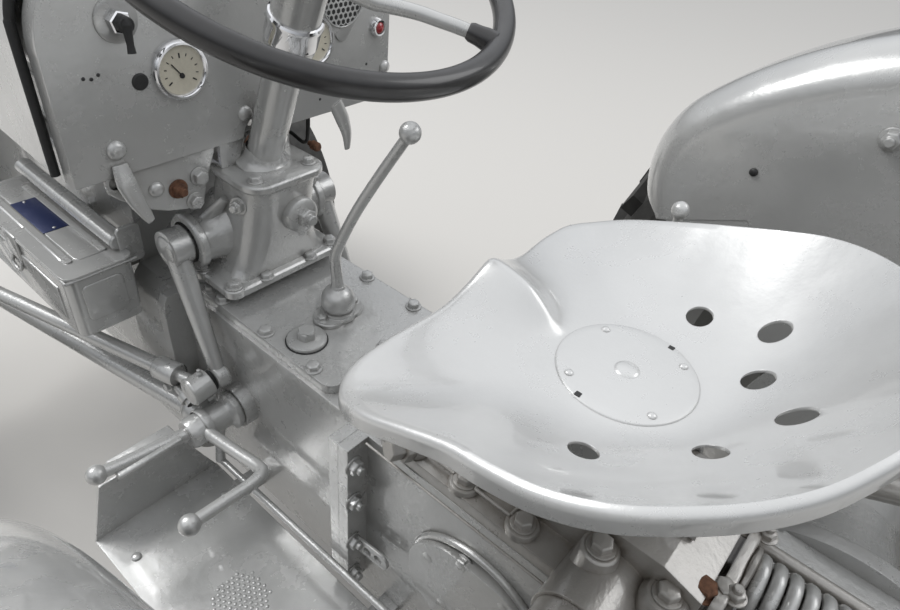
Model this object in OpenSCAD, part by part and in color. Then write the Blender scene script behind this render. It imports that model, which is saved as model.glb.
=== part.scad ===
// Light four-wheeled farm tractor with a tilting hood, twin steering arms and a rear lift.
// Lengths are millimetres. X points to the tractor's right, Y to its front, Z up.
// Places are written from the rear axle, and the last step moves the middle to Y = 0.

/* [Wheels] */
// Distance between the front and rear axles
wheelbase = 1778; // [1740:1:1820]
// Outer radius of a rear tyre at the tips of its lugs
rear_tyre_r = 602; // [590:1:610]
// Width of a rear tyre
rear_tyre_w = 276; // [250:1:280]
// Radius of a rear tyre where it sits on its rim
rear_bead_r = 356; // [345:1:365]
// Distance between the middles of the rear tyres
rear_track = 1321; // [1310:1:1400]
// Lugs along each half of a rear tyre
rear_lugs = 19; // [15:1:22]
// Height of a lug above the tread
lug_h = 34; // [24:1:38]
// Outer radius of a front tyre
front_tyre_r = 340; // [330:1:345]
// Width of a front tyre
front_tyre_w = 110; // [96:1:118]
// Radius of a front tyre where it sits on its rim
front_bead_r = 241; // [230:1:250]
// Distance between the middles of the front tyres
front_track = 1220; // [1210:1:1300]

/* [Housings] */
// Joint between the centre housing and the gearbox, ahead of the rear axle
joint_y = 528; // [500:1:545]
// Joint between the gearbox and the engine
bell_y = 925; // [910:1:950]
// Top face of the housings, where the covers sit
housing_top = 744; // [735:1:750]
// Underside of the housings
housing_bottom = 345; // [330:1:370]
// Half the width of the gearbox
gearbox_half_w = 112; // [106:1:116]
// Thickness of the gearbox cover
cover_t = 14; // [10:1:18]
// Height of the flat top of the steering box
box_top = 945; // [930:1:960]
// Radius of an axle trumpet at its outer end
trumpet_r = 57; // [50:1:62]
// Distance from the front axle back to the engine's front face
engine_setback = 178; // [165:1:190]
// Half the width of the engine block
engine_half_w = 118; // [105:1:124]

/* [Front axle] */
// Distance of each kingpin from the middle
kingpin_x = 498; // [490:1:505]
// Radius of a kingpin
kingpin_r = 15; // [12:0.5:18]
// Height of the steering arms
steer_arm_z = 566; // [555:1:580]

/* [Steering] */
// Radius of the steering wheel to the middle of its rim
wheel_r = 216; // [200:1:230]
// Radius of the rim's section
rim_r = 13; // [11:0.5:15]
// Lean of the column from upright, in degrees
column_lean = 22.5; // [20:0.5:25]
// Height of the wheel's centre
wheel_z = 1234; // [1220:1:1250]
// Distance of the wheel's centre ahead of the rear axle
wheel_y = 724; // [715:1:735]
// Height of the drop arm shaft
drop_z = 840; // [830:1:850]
// Distance of the drop arm shaft ahead of the rear axle
drop_y = 882; // [872:1:886]

/* [Hood] */
// Distance of the dash ahead of the rear axle
dash_y = 848; // [842:1:854]
// Distance from the front axle forward to the tip of the nose
nose_reach = 172; // [155:1:185]
// Height of the hood at the dash
hood_top_rear = 1240; // [1225:1:1250]
// Height of the hood at the nose
hood_top_front = 1185; // [1170:1:1195]
// Width of the hood at the dash
hood_w_rear = 500; // [490:1:510]
// Width of the hood at the nose
hood_w_front = 430; // [424:1:440]
// Height of the hood's lower edge
hood_skirt_z = 990; // [980:1:1000]
// Thickness of the sheet
sheet_t = 2.5; // [2:0.5:3]

/* [Seat and fenders] */
// Distance of the seat's middle ahead of the rear axle
seat_y = 276; // [266:1:286]
// Height of the seat's middle
seat_z = 940; // [930:1:950]
// Half the width of the seat
seat_half_w = 225; // [215:1:235]
// Gap between a rear tyre and the crown of its fender
fender_gap = 41; // [36:1:48]
// Distance from a rear tyre's inner side in to the fender's wall
fender_wall_gap = 70; // [56:0.5:74]
// Distance from the middle of a rear tyre out to the fender's edge
fender_reach = 39.5; // [20:0.5:60]

/* [Lift] */
// Length of a lower link between its ball centres
link_len = 720; // [680:1:740]
// Angle of the lower links above level
link_rise = 12; // [10:0.5:14]
// Length of a lift arm
lift_arm_len = 330; // [320:1:340]
// Angle of the lift arms above level
arm_rise = 20; // [18:0.5:22]
// Distance from a lower link's front ball to its lift rod
rod_reach = 260; // [250:1:270]
// Radius of the bore in a lower link's rear ball
link_bore_r = 11.3; // [11:0.1:11.6]
// Distance between the lower links' rear balls
link_spread = 700; // [690:1:720]

/* [Toolbox] */
// Distance of the toolbox's middle from the tractor's middle
box_x = 209; // [205:1:215]
// Width of the toolbox
box_w = 94; // [84:1:100]
// Distance from the gearbox joint forward to the toolbox
box_back = 15; // [8:1:40]
// Length of the toolbox
box_len = 316; // [280:1:330]
// Height of the toolbox's underside
box_z0 = 712; // [690:1:720]
// Height of the toolbox's wall
box_deep = 94; // [70:1:100]

/* [Hidden] */
$fn = 48;

// Clearances: between seated curved faces, in running fits, and between moving pieces
hair = 0.3;
fit = 0.05;
open_gap = 6;

// Wheels and axles
lug_lean = 14;
rear_z = rear_tyre_r;
front_z = front_tyre_r;
rear_x = rear_track / 2;
front_x = front_track / 2;
front_y = wheelbase + front_tyre_r;
fender_r = rear_tyre_r + fender_gap;
fender_x = rear_x - rear_tyre_w / 2 - fender_wall_gap;
fender_edge_x = rear_x + fender_reach;
engine_front_y = wheelbase - engine_setback;
radiator_y = engine_front_y + 100;
nose_y = wheelbase + nose_reach;

// Lift
link_pin_y = -60;
link_pin_z = 385;
link_front_x = 190;
link_pin_r = 11;
link_eye_r = 25;
ball_w = 35;
link_end_y = link_pin_y - link_len * cos(link_rise);
link_end_z = link_pin_z + link_len * sin(link_rise);
rod_pin_x = link_front_x + (link_spread / 2 - link_front_x) * rod_reach / link_len;
rod_x = rod_pin_x - 25;
lift_y = 200;
lift_z = 750;
lift_boss_x = 150;
lift_boss_r = 46;
lift_shaft_r = 22;
arm_end = [lift_y - lift_arm_len * cos(arm_rise), lift_z + lift_arm_len * sin(arm_rise)];
rod_end = [link_pin_y - rod_reach * cos(link_rise), link_pin_z + rod_reach * sin(link_rise)];

// The middle of the tractor's length
mid_y = (front_y + link_end_y - link_eye_r) / 2;

// Housings
cover_top = housing_top + cover_t;
cover_peak_z = housing_top + 78;
case_half_w = gearbox_half_w + 4;
axle_flange_x = 122;
joint_flange_w = 300;
flange_t = 17;
pto_y = -150;
pto_z = 560;
pto_r = 17.4;
brake_x = rear_x - 214.5;
drum_r = 180;
axle_r = 25;

// Steering
wheel_centre = [0, wheel_y, wheel_z];
column_dir = [0, -sin(column_lean), cos(column_lean)];
column_base = wheel_centre - column_dir * (wheel_z - box_top) / cos(column_lean);
column_len = (wheel_z - box_top) / cos(column_lean);
drop_arm_x = 126;
drop_eye = [137, drop_y - 79, drop_z - 185];
drop_ball = drop_eye + [28, 5, -5];
steer_end = [kingpin_x - 120, wheelbase - 60, steer_arm_z + 12 + open_gap + 13];
spindle_r = 19;
pedal_shaft = [0, 785, 597];
fan_z = 890;
pulley_z = 560;
pulley_r = 62;

// Fender outline: the crown's arc about the axle runs into a smaller arc at the nose
fender_nose_r = 0.3126 * fender_r;
fender_nose_angle = 45;
fender_crown_end = 14;
fender_lip_end = -24;
fender_lip_from = 45;
fender_rear_angle = 152;
fender_roll_r = 62;
fender_roll_w = 110;
fender_seam = 0.2;
fender_lap = 0.5;
fender_tail = 20;
fender_slope = 18;
fender_nose_c = [0, cos(fender_nose_angle), sin(fender_nose_angle)] * (fender_r - fender_nose_r)
    + [0, 0, rear_z];

// Hood and nose
hood_y = dash_y + 30;
nose_base_y = nose_y - 160;
hinge_x = 150;
hinge_y = nose_y - 65;
hinge_z = 612;
nose_low_z = 565;

// Toolbox
box_y0 = bell_y + box_back;
box_y1 = box_y0 + box_len;
box_z1 = box_z0 + box_deep;

// Moves a piece from the rear axle's frame to the part's own frame
module place() translate([0, -mid_y, 0]) children();

// Mirrors a piece of the right side to the left when s is -1
module side(s) {
    if (s > 0) children();
    else mirror([1, 0, 0]) children();
}

// Lays a solid that stands along Z along X or Y
module along_x() rotate([0, 90, 0]) children();
module along_y() rotate([-90, 0, 0]) children();

// A round rod between two points
module rod(a, b, r, r2) {
    d = b - a;
    l = norm(d);
    translate(a)
        rotate([0, acos(d.z / l), atan2(d.y, d.x)])
        cylinder(h = l, r1 = r, r2 = is_undef(r2) ? r : r2);
}

// A flat outline with rounded corners, about the middle
module rounded(w, h, r) {
    square([w - 2 * r, h], center = true);
    square([w, h - 2 * r], center = true);
    for (sx = [-1, 1], sy = [-1, 1])
        translate([sx * (w / 2 - r), sy * (h / 2 - r)]) circle(r);
}

// A block with rounded long edges that lies along Y
module bar_y(y0, y1, w, z0, z1, r, x = 0) {
    translate([x, y1, (z0 + z1) / 2])
        rotate([90, 0, 0])
        linear_extrude(y1 - y0) rounded(w, z1 - z0, r);
}

// A flat block with rounded corners seen from above
module slab(y0, y1, w, z0, z1, r) {
    translate([0, (y0 + y1) / 2, z0]) linear_extrude(z1 - z0) rounded(w, y1 - y0, r);
}

// A plate of thickness t at x whose outline is drawn in Y and Z
module plate_yz(x, t) translate([x, 0, 0]) rotate([90, 0, 90]) linear_extrude(t) children();

// The same for an outline drawn in X and Z
module plate_xz(y, t) translate([0, y + t, 0]) rotate([90, 0, 0]) linear_extrude(t) children();

// A flat arm that tapers from radius ra at a to rb at b
module linear_arm(a, b, z, t, ra, rb) {
    d = b - a;
    translate([a.x, a.y, z]) rotate([0, 0, atan2(d.y, d.x)]) linear_extrude(t) {
        circle(ra);
        translate([norm(d), 0]) circle(rb);
        polygon([[0, -ra], [norm(d), -rb], [norm(d), rb], [0, ra]]);
    }
}

// Revolves an outline in [radius, x] about an axis along X, from angle a0 to a1 above +Y
module sweep_x(c, a0, a1)
    translate(c) along_x() rotate([0, 0, 90 + a0]) rotate_extrude(angle = a1 - a0) children();

module center_housing() {
    color("dimgray") place() difference() {
        union() {
            bar_y(pto_y, joint_y, 2 * case_half_w, housing_bottom, housing_top + 40, 40);
            translate([-axle_flange_x, 0, rear_z]) along_x()
                cylinder(h = 2 * axle_flange_x, r = 163);
            bar_y(joint_y - flange_t, joint_y, joint_flange_w, 440, housing_top + 30, 30);
            for (s = [-1, 1]) side(s) {
                plate_yz(case_half_w, 14)
                    translate([325, 600]) rotate(90) rounded(150, 190, 70);
                translate([case_half_w - 1, link_pin_y, link_pin_z]) along_x()
                    cylinder(h = 26, r = 34);
                translate([case_half_w, link_pin_y, link_pin_z]) along_x()
                    cylinder(h = link_front_x + 20 - case_half_w, r = link_pin_r);
            }
            translate([0, pto_y + 1, pto_z]) rotate([90, 0, 0]) cylinder(h = 28, r = 62);
            translate([0, pto_y, pto_z]) rotate([90, 0, 0]) cylinder(h = 86, r = pto_r);
        }
        translate([-200, -220, housing_top]) cube([400, 800, 200]);
        translate([-60, pto_y - 1, housing_top - 22]) cube([120, 104 - pto_y, 100]);
        translate([-200, lift_y, lift_z]) along_x() cylinder(h = 400, r = lift_boss_r + hair);
    }
}

module lift_cover() {
    color("gray") place() difference() {
        union() {
            slab(112, joint_y - flange_t - 8, 230, housing_top, housing_top + 18, 22);
            plate_yz(-78, 156) polygon([
                [118, housing_top], [118, 808], [160, cover_peak_z], [240, cover_peak_z],
                [340, 800], [430, 778], [430, housing_top]
            ]);
            translate([-lift_boss_x, lift_y, lift_z]) along_x()
                cylinder(h = 2 * lift_boss_x, r = lift_boss_r);
        }
        translate([-lift_boss_x - 1, lift_y, lift_z]) along_x()
            cylinder(h = 2 * lift_boss_x + 2, r = lift_shaft_r + fit);
    }
}

module gearbox_housing() {
    color("gray") place() {
        difference() {
            union() {
                bar_y(joint_y, bell_y, 2 * gearbox_half_w, housing_bottom + 20, housing_top + 40, 44);
                bar_y(joint_y, joint_y + flange_t, joint_flange_w, 440, housing_top + 30, 30);
                bar_y(bell_y - flange_t, bell_y, joint_flange_w, 380, housing_top + 30, 60);
            }
            translate([-200, 0, housing_top]) cube([400, 1200, 200]);
        }
        for (s = [-1, 1]) side(s)
            translate([gearbox_half_w - 2, pedal_shaft.y, pedal_shaft.z]) along_x()
                cylinder(h = 22, r = 34);
        for (s = [-1, 1]) side(s)
            translate([gearbox_half_w - 2, 865, 565]) along_x() cylinder(h = 14, r = 36);
    }
}

module gearbox_cover() {
    color("gray") place() {
        slab(590, 912, 2 * (gearbox_half_w - 6), housing_top, cover_top, 18);
        translate([-66, 684, cover_top]) cylinder(h = 6, r = 26);
        translate([-66, 684, cover_top + 6]) cylinder(h = 14, r = 12, $fn = 6);
        translate([3, 697, cover_top]) linear_extrude(8) rounded(74, 46, 22);
        translate([3, 697, cover_top + 8]) cylinder(h = 5, r = 24);
    }
}

module steering_box() {
    color("gray") place() difference() {
        union() {
            hull() {
                slab(803, 912, 172, cover_top, cover_top + 6, 30, $fn = 32);
                slab(786, 890, 118, box_top - 20, box_top - 12, 30, $fn = 32);
            }
            slab(776, 892, 126, box_top - 12, box_top, 28);
            translate([-drop_arm_x + 20, drop_y, drop_z]) along_x()
                cylinder(h = 2 * (drop_arm_x - 20), r = 34);
            translate([14, 800, 880]) rotate([90, 0, 0]) cylinder(h = 22, r = 25);
            translate([14, 800, 880]) rotate([90, 0, 0]) cylinder(h = 36, r = 14, $fn = 6);
        }
        translate([-200, drop_y, drop_z]) along_x() cylinder(h = 400, r = kingpin_r + fit);
    }
}

module steering_column() {
    color("gray") place() difference() {
        translate(column_base) rotate([column_lean, 0, 0]) {
            translate([0, 0, -20]) cylinder(h = column_len - 80, r = 24);
            translate([0, 0, column_len - 102]) cylinder(h = 68, r = 29);
            translate([0, 0, column_len - 60]) cylinder(h = 65, r = 13);
        }
        translate([-100, column_base.y - 100, box_top - 100]) cube([200, 200, 100]);
    }
}

module axle_trumpets() {
    color("gray") place() for (s = [-1, 1]) side(s)
        translate([0, 0, rear_z]) along_x() rotate_extrude() polygon([
            [0, axle_flange_x], [163, axle_flange_x], [163, axle_flange_x + 20],
            [120, axle_flange_x + 36], [88, 210], [74, 260], [trumpet_r, 330],
            [trumpet_r, brake_x - 20], [110, brake_x - 8], [drum_r + 35, brake_x - 6],
            [drum_r + 35, brake_x], [axle_r + fit, brake_x], [axle_r + fit, brake_x - 60],
            [0, brake_x - 60]
        ]);
}

module engine() {
    color("dimgray") place() {
        difference() {
            bar_y(bell_y, bell_y + 90, joint_flange_w, 380, 770, 90);
            translate([-200, bell_y - 1, housing_top]) cube([400, 200, 200]);
        }
        bar_y(bell_y + 90, engine_front_y, 2 * engine_half_w, 470, 860, 16);
        bar_y(bell_y + 100, engine_front_y - 30, 2 * engine_half_w - 40, 372, 470, 30);
        bar_y(bell_y + 110, engine_front_y - 20, 2 * engine_half_w - 50, 860, 950, 10);
        bar_y(bell_y + 140, engine_front_y - 50, 120, 950, 985, 14);
        translate([0, engine_front_y, pulley_z]) along_y() cylinder(h = 26, r = pulley_r);
        translate([0, engine_front_y, fan_z]) along_y() cylinder(h = 22, r = 34);
    }
}

module manifold() {
    color("saddlebrown") place() {
        bar_y(bell_y + 135, engine_front_y - 120, 52, 800, 852, 20, x = engine_half_w + 26);
        rod([engine_half_w + 31, 1112, 810], [engine_half_w + 31, 1112, 392], 24);
        translate([engine_half_w + 31, 1112, 392]) sphere(24.2);
        rod([engine_half_w + 31, 1112, 392], [engine_half_w + 34, 880, 330], 20);
        translate([engine_half_w + 34, 880, 330]) sphere(20.2);
        rod([engine_half_w + 34, 880, 330], [engine_half_w + 34, 300, 330], 20);
    }
}

module fan() {
    color("gray") place() translate([0, engine_front_y + 22 + hair, fan_z]) {
        along_y() cylinder(h = 34, r = 38);
        for (a = [0:90:270])
            rotate([0, a, 0]) translate([30, 30, -26]) rotate([28, 0, 0]) cube([135, 3, 52]);
    }
}

module radiator() {
    color("dimgray") place() {
        slab(radiator_y - 28, radiator_y + 28, 392, 632, 1120, 4);
        slab(radiator_y - 36, radiator_y + 36, 352, 1120, 1152, 12);
        slab(radiator_y - 36, radiator_y + 36, 404, 606, 632, 6);
        translate([0, radiator_y, 1152]) cylinder(h = 14, r = 30);
    }
}

module front_support() {
    color("gray") place() {
        difference() {
            union() {
                bar_y(engine_front_y, nose_y - 100, 236, 480, 520, 10);
                bar_y(engine_front_y, engine_front_y + 26, 260, 470, 606, 20);
            }
            translate([0, engine_front_y - 1, pulley_z]) along_y()
                cylinder(h = 33, r = pulley_r + open_gap);
        }
        slab(radiator_y - 40, radiator_y + 40, 300, 520, 606, 8);
        for (y = [wheelbase - 62, wheelbase + 40])
            plate_xz(y, 22) polygon([[-70, 480], [70, 480], [38, 420], [-38, 420]]);
        for (s = [-1, 1]) side(s) {
            plate_yz(hinge_x - 12, 12) polygon([
                [hinge_y - 85, 520], [hinge_y - 39, 520], [hinge_y + 14, hinge_z - 12],
                [hinge_y + 14, hinge_z + 14], [hinge_y - 14, hinge_z + 14]
            ]);
            translate([hinge_x, hinge_y, hinge_z]) along_x() cylinder(h = 26, r = 8);
            plate_yz(hinge_x - 34, 34) translate([hinge_y - 95, 480]) square([56, 60]);
        }
    }
}

module front_axle() {
    color("gray") place() {
        bar_y(wheelbase - 30, wheelbase + 30, 620, 430, 476, 6);
        translate([0, wheelbase - 40 + hair, 452]) along_y()
            cylinder(h = 80 - 2 * hair, r = 28 - hair);
        for (s = [-1, 1]) side(s) difference() {
            union() {
                plate_xz(wheelbase - 20, 40) polygon([
                    [250, 476], [330, 476], [kingpin_x, 512], [kingpin_x, 466], [330, 430], [250, 430]
                ]);
                translate([kingpin_x, wheelbase, 430]) cylinder(h = 116, r = 28);
            }
            translate([kingpin_x, wheelbase, 400]) cylinder(h = 200, r = kingpin_r + fit);
        }
    }
}

module radius_rods() {
    rod_bend = [290, wheelbase - 58, 500];
    color("gray") place() for (s = [-1, 1]) side(s) {
        rod([160, 850, 562], rod_bend, 17);
        translate([160, 850, 562]) sphere(24);
        translate([gearbox_half_w + 12 + hair, 850, 562]) along_x() cylinder(h = 40, r = 16);
        rod(rod_bend, [300, wheelbase - 20, 476 + hair + 14], 14);
        translate([280, wheelbase - 36, 476]) cube([40, 40, 22]);
    }
}

module fuel_tank() {
    color("gray") place() {
        bar_y(bell_y - 20, engine_front_y - 40, 380, 1000, 1172, 84);
        for (y = [bell_y + 155, engine_front_y - 200]) bar_y(y, y + 40, 110, 985, 1006, 6);
    }
}

// Outline of the hood across the tractor, open below
module hood_outline(w, top, low, r) {
    translate([0, (top + low) / 2]) rounded(w, top - low, r);
    translate([-w / 2, low]) square([w, (top - low) / 2]);
}

module dash_panel() {
    w = hood_w_rear - 14;
    top = hood_top_rear - 4;
    low = hood_skirt_z - 8;
    color("gray") place() difference() {
        union() {
            plate_xz(dash_y, sheet_t) hood_outline(w, top, low, 110);
        plate_xz(dash_y, hood_y - 6 - dash_y) difference() {
            hood_outline(w, top, low, 110);
            hood_outline(w - 2 * sheet_t, top - sheet_t, low + sheet_t, 110 - sheet_t);
        }
        for (x = [-98, 98]) translate([x, dash_y, 1087]) rotate([90, 0, 0]) cylinder(h = 2.5, r = 31);
        plate_xz(dash_y + 8, 6) translate([-56, box_top]) square([112, low - box_top + 4]);
        slab(dash_y + 8, 890, 112, box_top, box_top + 7, 3);
        }
        translate(column_base) rotate([column_lean, 0, 0])
            translate([0, 0, -40]) cylinder(h = 200, r = 24 + open_gap);
    }
}

module toolbox() {
    color("gray") place() {
        difference() {
            translate([-box_x, (box_y0 + box_y1) / 2, box_z0])
                linear_extrude(box_z1 - box_z0) rounded(box_w, box_y1 - box_y0, 14);
            translate([-box_x, (box_y0 + box_y1) / 2, box_z0 + 2])
                linear_extrude(200) rounded(box_w - 4, box_y1 - box_y0 - 4, 12);
        }
        for (y = [box_y0 + 90, box_y1 - 60])
            translate([-box_x + box_w / 2, y, box_z0 + 20])
                cube([box_x - box_w / 2 - engine_half_w, 20, 30]);
    }
}

module toolbox_lid() {
    color("gray") place() {
        translate([-box_x, (box_y0 + box_y1) / 2, box_z1 + hair])
            linear_extrude(6) rounded(box_w + 4, box_y1 - box_y0 + 4, 16);
        translate([-box_x + box_w / 2 + 5, box_y0 + 20, box_z1 + 5]) along_y()
            cylinder(h = box_y1 - box_y0 - 40, r = 4.5);
        for (x = [-24, 24])
            translate([-box_x + x, (box_y0 + box_y1) / 2, box_z1 + 6])
                linear_extrude(2.5) rounded(10, box_y1 - box_y0 - 70, 4);
    }
}

// A point on the roll between wall and crown: angle a is 0 at the crown and 90 at the wall
function fender_roll(r, a, inset) = [
    r - fender_roll_r + (fender_roll_r - inset) * cos(a),
    fender_x + fender_roll_w - (fender_roll_w - inset) * sin(a)
];

// Section of a fender's edge in [radius, x] for a crown of radius r. With a0 above 0 only the
// roll from that angle on is drawn. Inset thins the sheet from both sides
function fender_section(r, a0 = 0, inset = 0) = concat(
    a0 > 0 ? [] : [[r - fender_slope - inset, fender_edge_x - 2 * inset]],
    [for (a = [a0:9:90]) fender_roll(r, a, inset)],
    [for (x = [inset, sheet_t - inset]) [r - fender_roll_r - fender_tail + 20 * inset, fender_x + x]],
    [for (a = [90:-9:a0]) fender_roll(r, a, sheet_t - inset)],
    a0 > 0 ? [] : [[r - fender_slope - sheet_t + inset, fender_edge_x - 2 * inset]]
);

// A point at distance r from c along an angle above +Y, in Y and Z
function polar(c, r, a) = [c.x + r * cos(a), c.y + r * sin(a)];

// Points along an arc about c, in Y and Z
function arc(c, r, a0, a1) = [for (k = [0:8]) polar(c, r, a0 + (a1 - a0) * k / 8)];

// Flat inner wall of a fender, in Y and Z
module fender_wall() {
    axle = [0, rear_z];
    nose = [fender_nose_c.y, fender_nose_c.z];
    step = fender_roll_r + fender_tail / 3;
    difference() {
        polygon(concat(
            arc(axle, fender_r - step, fender_rear_angle - 0.1, fender_nose_angle + 2),
            arc(nose, fender_nose_r - step, fender_nose_angle - 9, fender_lip_end + 5),
            [polar(axle, 0.404 * fender_r, 26), polar(axle, drum_r, 24), polar(axle, drum_r - 30, 88),
            polar(axle, drum_r, fender_rear_angle - 0.1)]
        ));
        translate(axle) circle(r = drum_r + 12);
    }
}

module fender(s) {
    color("gray") place() side(s) {
        sweep_x([0, 0, rear_z], fender_nose_angle - fender_lap, fender_rear_angle)
            polygon(fender_section(fender_r));
        sweep_x(fender_nose_c, fender_crown_end, fender_nose_angle)
            polygon(fender_section(fender_nose_r, 0, fender_seam));
        sweep_x(fender_nose_c, fender_lip_end, fender_crown_end + 4)
            polygon(fender_section(fender_nose_r, fender_lip_from, 2 * fender_seam));
        plate_yz(fender_x - fender_seam, sheet_t + 2 * fender_seam) fender_wall();
        translate([0, 0, rear_z]) along_x() rotate([0, 0, 145]) rotate_extrude(angle = 70)
            polygon([
                [drum_r + 14, brake_x + hair], [drum_r + 34, brake_x + hair],
                [drum_r + 34, fender_x + 1], [drum_r + 14, fender_x + 1]
            ]);
    }
}

module fender_left() fender(-1);
module fender_right() fender(1);

module footplates() {
    color("gray") place() for (s = [-1, 1]) side(s) {
        translate([150, 400, 427]) cube([208, 440, 3]);
        plate_xz(840, 3) polygon([[150, 427], [358, 427], [328, 535], [200, 535]]);
        translate([gearbox_half_w, 760, 412]) cube([230, 30, 15]);
        translate([case_half_w, 440, 412]) cube([226, 30, 15]);
    }
}

// Edge of the seat: columns are angle from the front, distance from the middle, rise
SEAT_EDGE = [
    [0, 184, 6], [20, 196, 5], [38, 232, 5], [50, 276, 6], [58, 268, 22], [70, 237, 48],
    [90, 227, 76], [110, 231, 108], [128, 220, 130], [144, 217, 149], [162, 221, 153],
    [180, 224, 155]
];
seat_plate_r = 72;
seat_sides = 48;
seat_rings = 7;
seat_lip = 16;

// A column of SEAT_EDGE at any angle, straight between its rows
function seat_edge(a, col) = lookup(
    abs(a > 180 ? 360 - a : a), [for (row = SEAT_EDGE) [row[0], row[col]]]
);

// Raised ridge along the middle of the seat's front
function seat_ridge(x, y) =
    38 * exp(-pow(x / 26, 2)) * exp(-pow((y - 146) / 62, 2));

// A point of the seat's upper face: t is 0 at the middle plate and 1 at the edge
function seat_point(a, t) = let(
    r = seat_plate_r + (seat_edge(a, 1) * seat_half_w / 227 - seat_plate_r) * t,
    x = r * sin(a),
    y = r * cos(a)
) [x, seat_y + y, seat_z + seat_edge(a, 2) * pow(t, 1.7) + seat_ridge(x, y) * min(1, 2 * t)];

module seat() {
    step = 360 / seat_sides;
    rows = seat_rings + 3;
    rings = concat(
        [for (i = [0:seat_rings]) [for (k = [0:seat_sides - 1]) seat_point(k * step, i / seat_rings)]],
        [[for (k = [0:seat_sides - 1]) seat_point(k * step, 1) - [0, 0, seat_lip]]],
        [for (i = [seat_rings:-1:0])
            [for (k = [0:seat_sides - 1])
                seat_point(k * step, min(i, seat_rings - 0.25) / seat_rings) - [0, 0, 3]]]
    );
    count = len(rings);
    color("silver") place() {
        polyhedron(
            points = concat(
                [for (ring = rings, p = ring) p],
                [[0, seat_y, seat_z], [0, seat_y, seat_z - 3]]
            ),
            faces = concat(
                [for (i = [0:count - 2], k = [0:seat_sides - 1]) [
                    i * seat_sides + k, (i + 1) * seat_sides + k,
                    (i + 1) * seat_sides + (k + 1) % seat_sides
                ]],
                [for (i = [0:count - 2], k = [0:seat_sides - 1]) [
                    i * seat_sides + k, (i + 1) * seat_sides + (k + 1) % seat_sides,
                    i * seat_sides + (k + 1) % seat_sides
                ]],
                [for (k = [0:seat_sides - 1]) [count * seat_sides, k, (k + 1) % seat_sides]],
                [for (k = [0:seat_sides - 1]) [
                    count * seat_sides + 1, (count - 1) * seat_sides + (k + 1) % seat_sides,
                    (count - 1) * seat_sides + k
                ]]
            )
        );
    }
}

module seat_spring() {
    low = cover_peak_z;
    high = seat_z - 3 - hair;
    r = (high - low) / 2;
    leaf = 9;
    bend_y = seat_y + 54;
    color("gray") place() plate_yz(-32, 64) {
        translate([seat_y - 126, low]) square([bend_y - seat_y + 126, leaf]);
        translate([seat_y - 72, high - leaf]) square([bend_y - seat_y + 72, leaf]);
        translate([bend_y, low + r]) difference() {
            circle(r);
            circle(r - leaf);
            translate([-r, -r]) square([r, 2 * r]);
        }
    }
}

module pedals() {
    start = gearbox_half_w + 20 + hair;
    color("gray") place() for (s = [-1, 1]) side(s) {
        translate([start, pedal_shaft.y, pedal_shaft.z]) along_x()
            cylinder(h = 80, r = 20);
        translate([start, pedal_shaft.y, pedal_shaft.z]) along_x()
            cylinder(h = 12, r = 30);
        rod([start + 40, 785, 597], [start + 52, 631, 627], 9);
        translate([start + 52, 631, 627]) sphere(9.4);
        rod([start + 52, 631, 627], [298, 630, 634], 9);
        translate([298, 630, 634]) sphere(14);
        rod([start + 20, 785, 597], [160, 801, 484], 7);
        rod([160, 801, 484], [160, 318, 497], 5);
        translate([case_half_w, 318, 497]) along_x() cylinder(h = 50, r = 12);
        if (s < 0) {
            rod([start + 75, 785, 600], [335, 792, 618], 9);
            translate([335, 792, 618]) sphere(13.5);
            translate([225, 770, 606]) cube([90, 40, 6]);
        }
    }
}

module gear_lever() {
    bend = [2, 700, 862];
    knob = [20, 594, 1068];
    color("gray") place() {
        difference() {
            translate([3, 697, cover_top + 27]) sphere(24.5);
            translate([-47, 647, cover_top - 87 + hair]) cube(100);
        }
        rod([3, 697, cover_top + 40], bend, 7.5);
        translate(bend) sphere(7.8);
        rod(bend, knob, 7.5);
        translate(knob) sphere(13);
    }
}

module lift_quadrant() {
    knob = [250, 351, 992];
    color("gray") place() {
        plate_yz(78 + hair, 8) intersection() {
            translate([262, 800]) circle(74);
            translate([180, 798]) square([170, 82]);
        }
        rod([80, 262, 806], [150, 270, 806], 8);
        translate([150, 270, 806]) sphere(9);
        rod([150, 270, 806], [246, 340, 860], 6);
        translate([246, 340, 860]) sphere(6.4);
        rod([246, 340, 860], knob, 6);
        translate(knob) sphere(11);
    }
}

module draft_spring() {
    axis_z = 772;
    color("gray") place() {
        plate_xz(100, 12) translate([0, (housing_top + hair + 808) / 2])
            rounded(150, 808 - housing_top - hair, 14);
        for (i = [0:8])
            translate([0, 90 - i * 15.4, axis_z]) rotate([90, 0, 0])
                rotate_extrude() translate([30, 0]) circle(8, $fn = 16);
        translate([0, 101, axis_z]) rotate([90, 0, 0]) cylinder(h = 150, r = 25);
        difference() {
            union() {
                translate([0, -42, axis_z]) rotate([90, 0, 0]) cylinder(h = 12, r = 40);
                translate([-26, -112, axis_z - 30]) cube([14, 62, 60]);
                translate([12, -112, axis_z - 30]) cube([14, 62, 60]);
            }
            translate([-60, -90, axis_z]) along_x() cylinder(h = 120, r = 9.6);
        }
    }
}

module headlamps() {
    lamp = [292, radiator_y - 28, 850];
    color("gray") place() for (s = [-1, 1]) side(s) {
        translate(lamp) along_y() rotate_extrude() polygon([
            [0, -62], [22, -60], [52, -42], [72, -8], [78, 0], [80, 22], [70, 30], [0, 36]
        ]);
        rod([lamp.x, lamp.y, lamp.z - 110], lamp - [0, 0, 60], 9);
        translate([202 + hair, lamp.y - 14, lamp.z - 118]) cube([lamp.x - 190, 28, 10]);
        translate([202 + hair, lamp.y - 14, 608]) cube([8, 28, lamp.z - 110 - 608]);
    }
}

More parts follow.
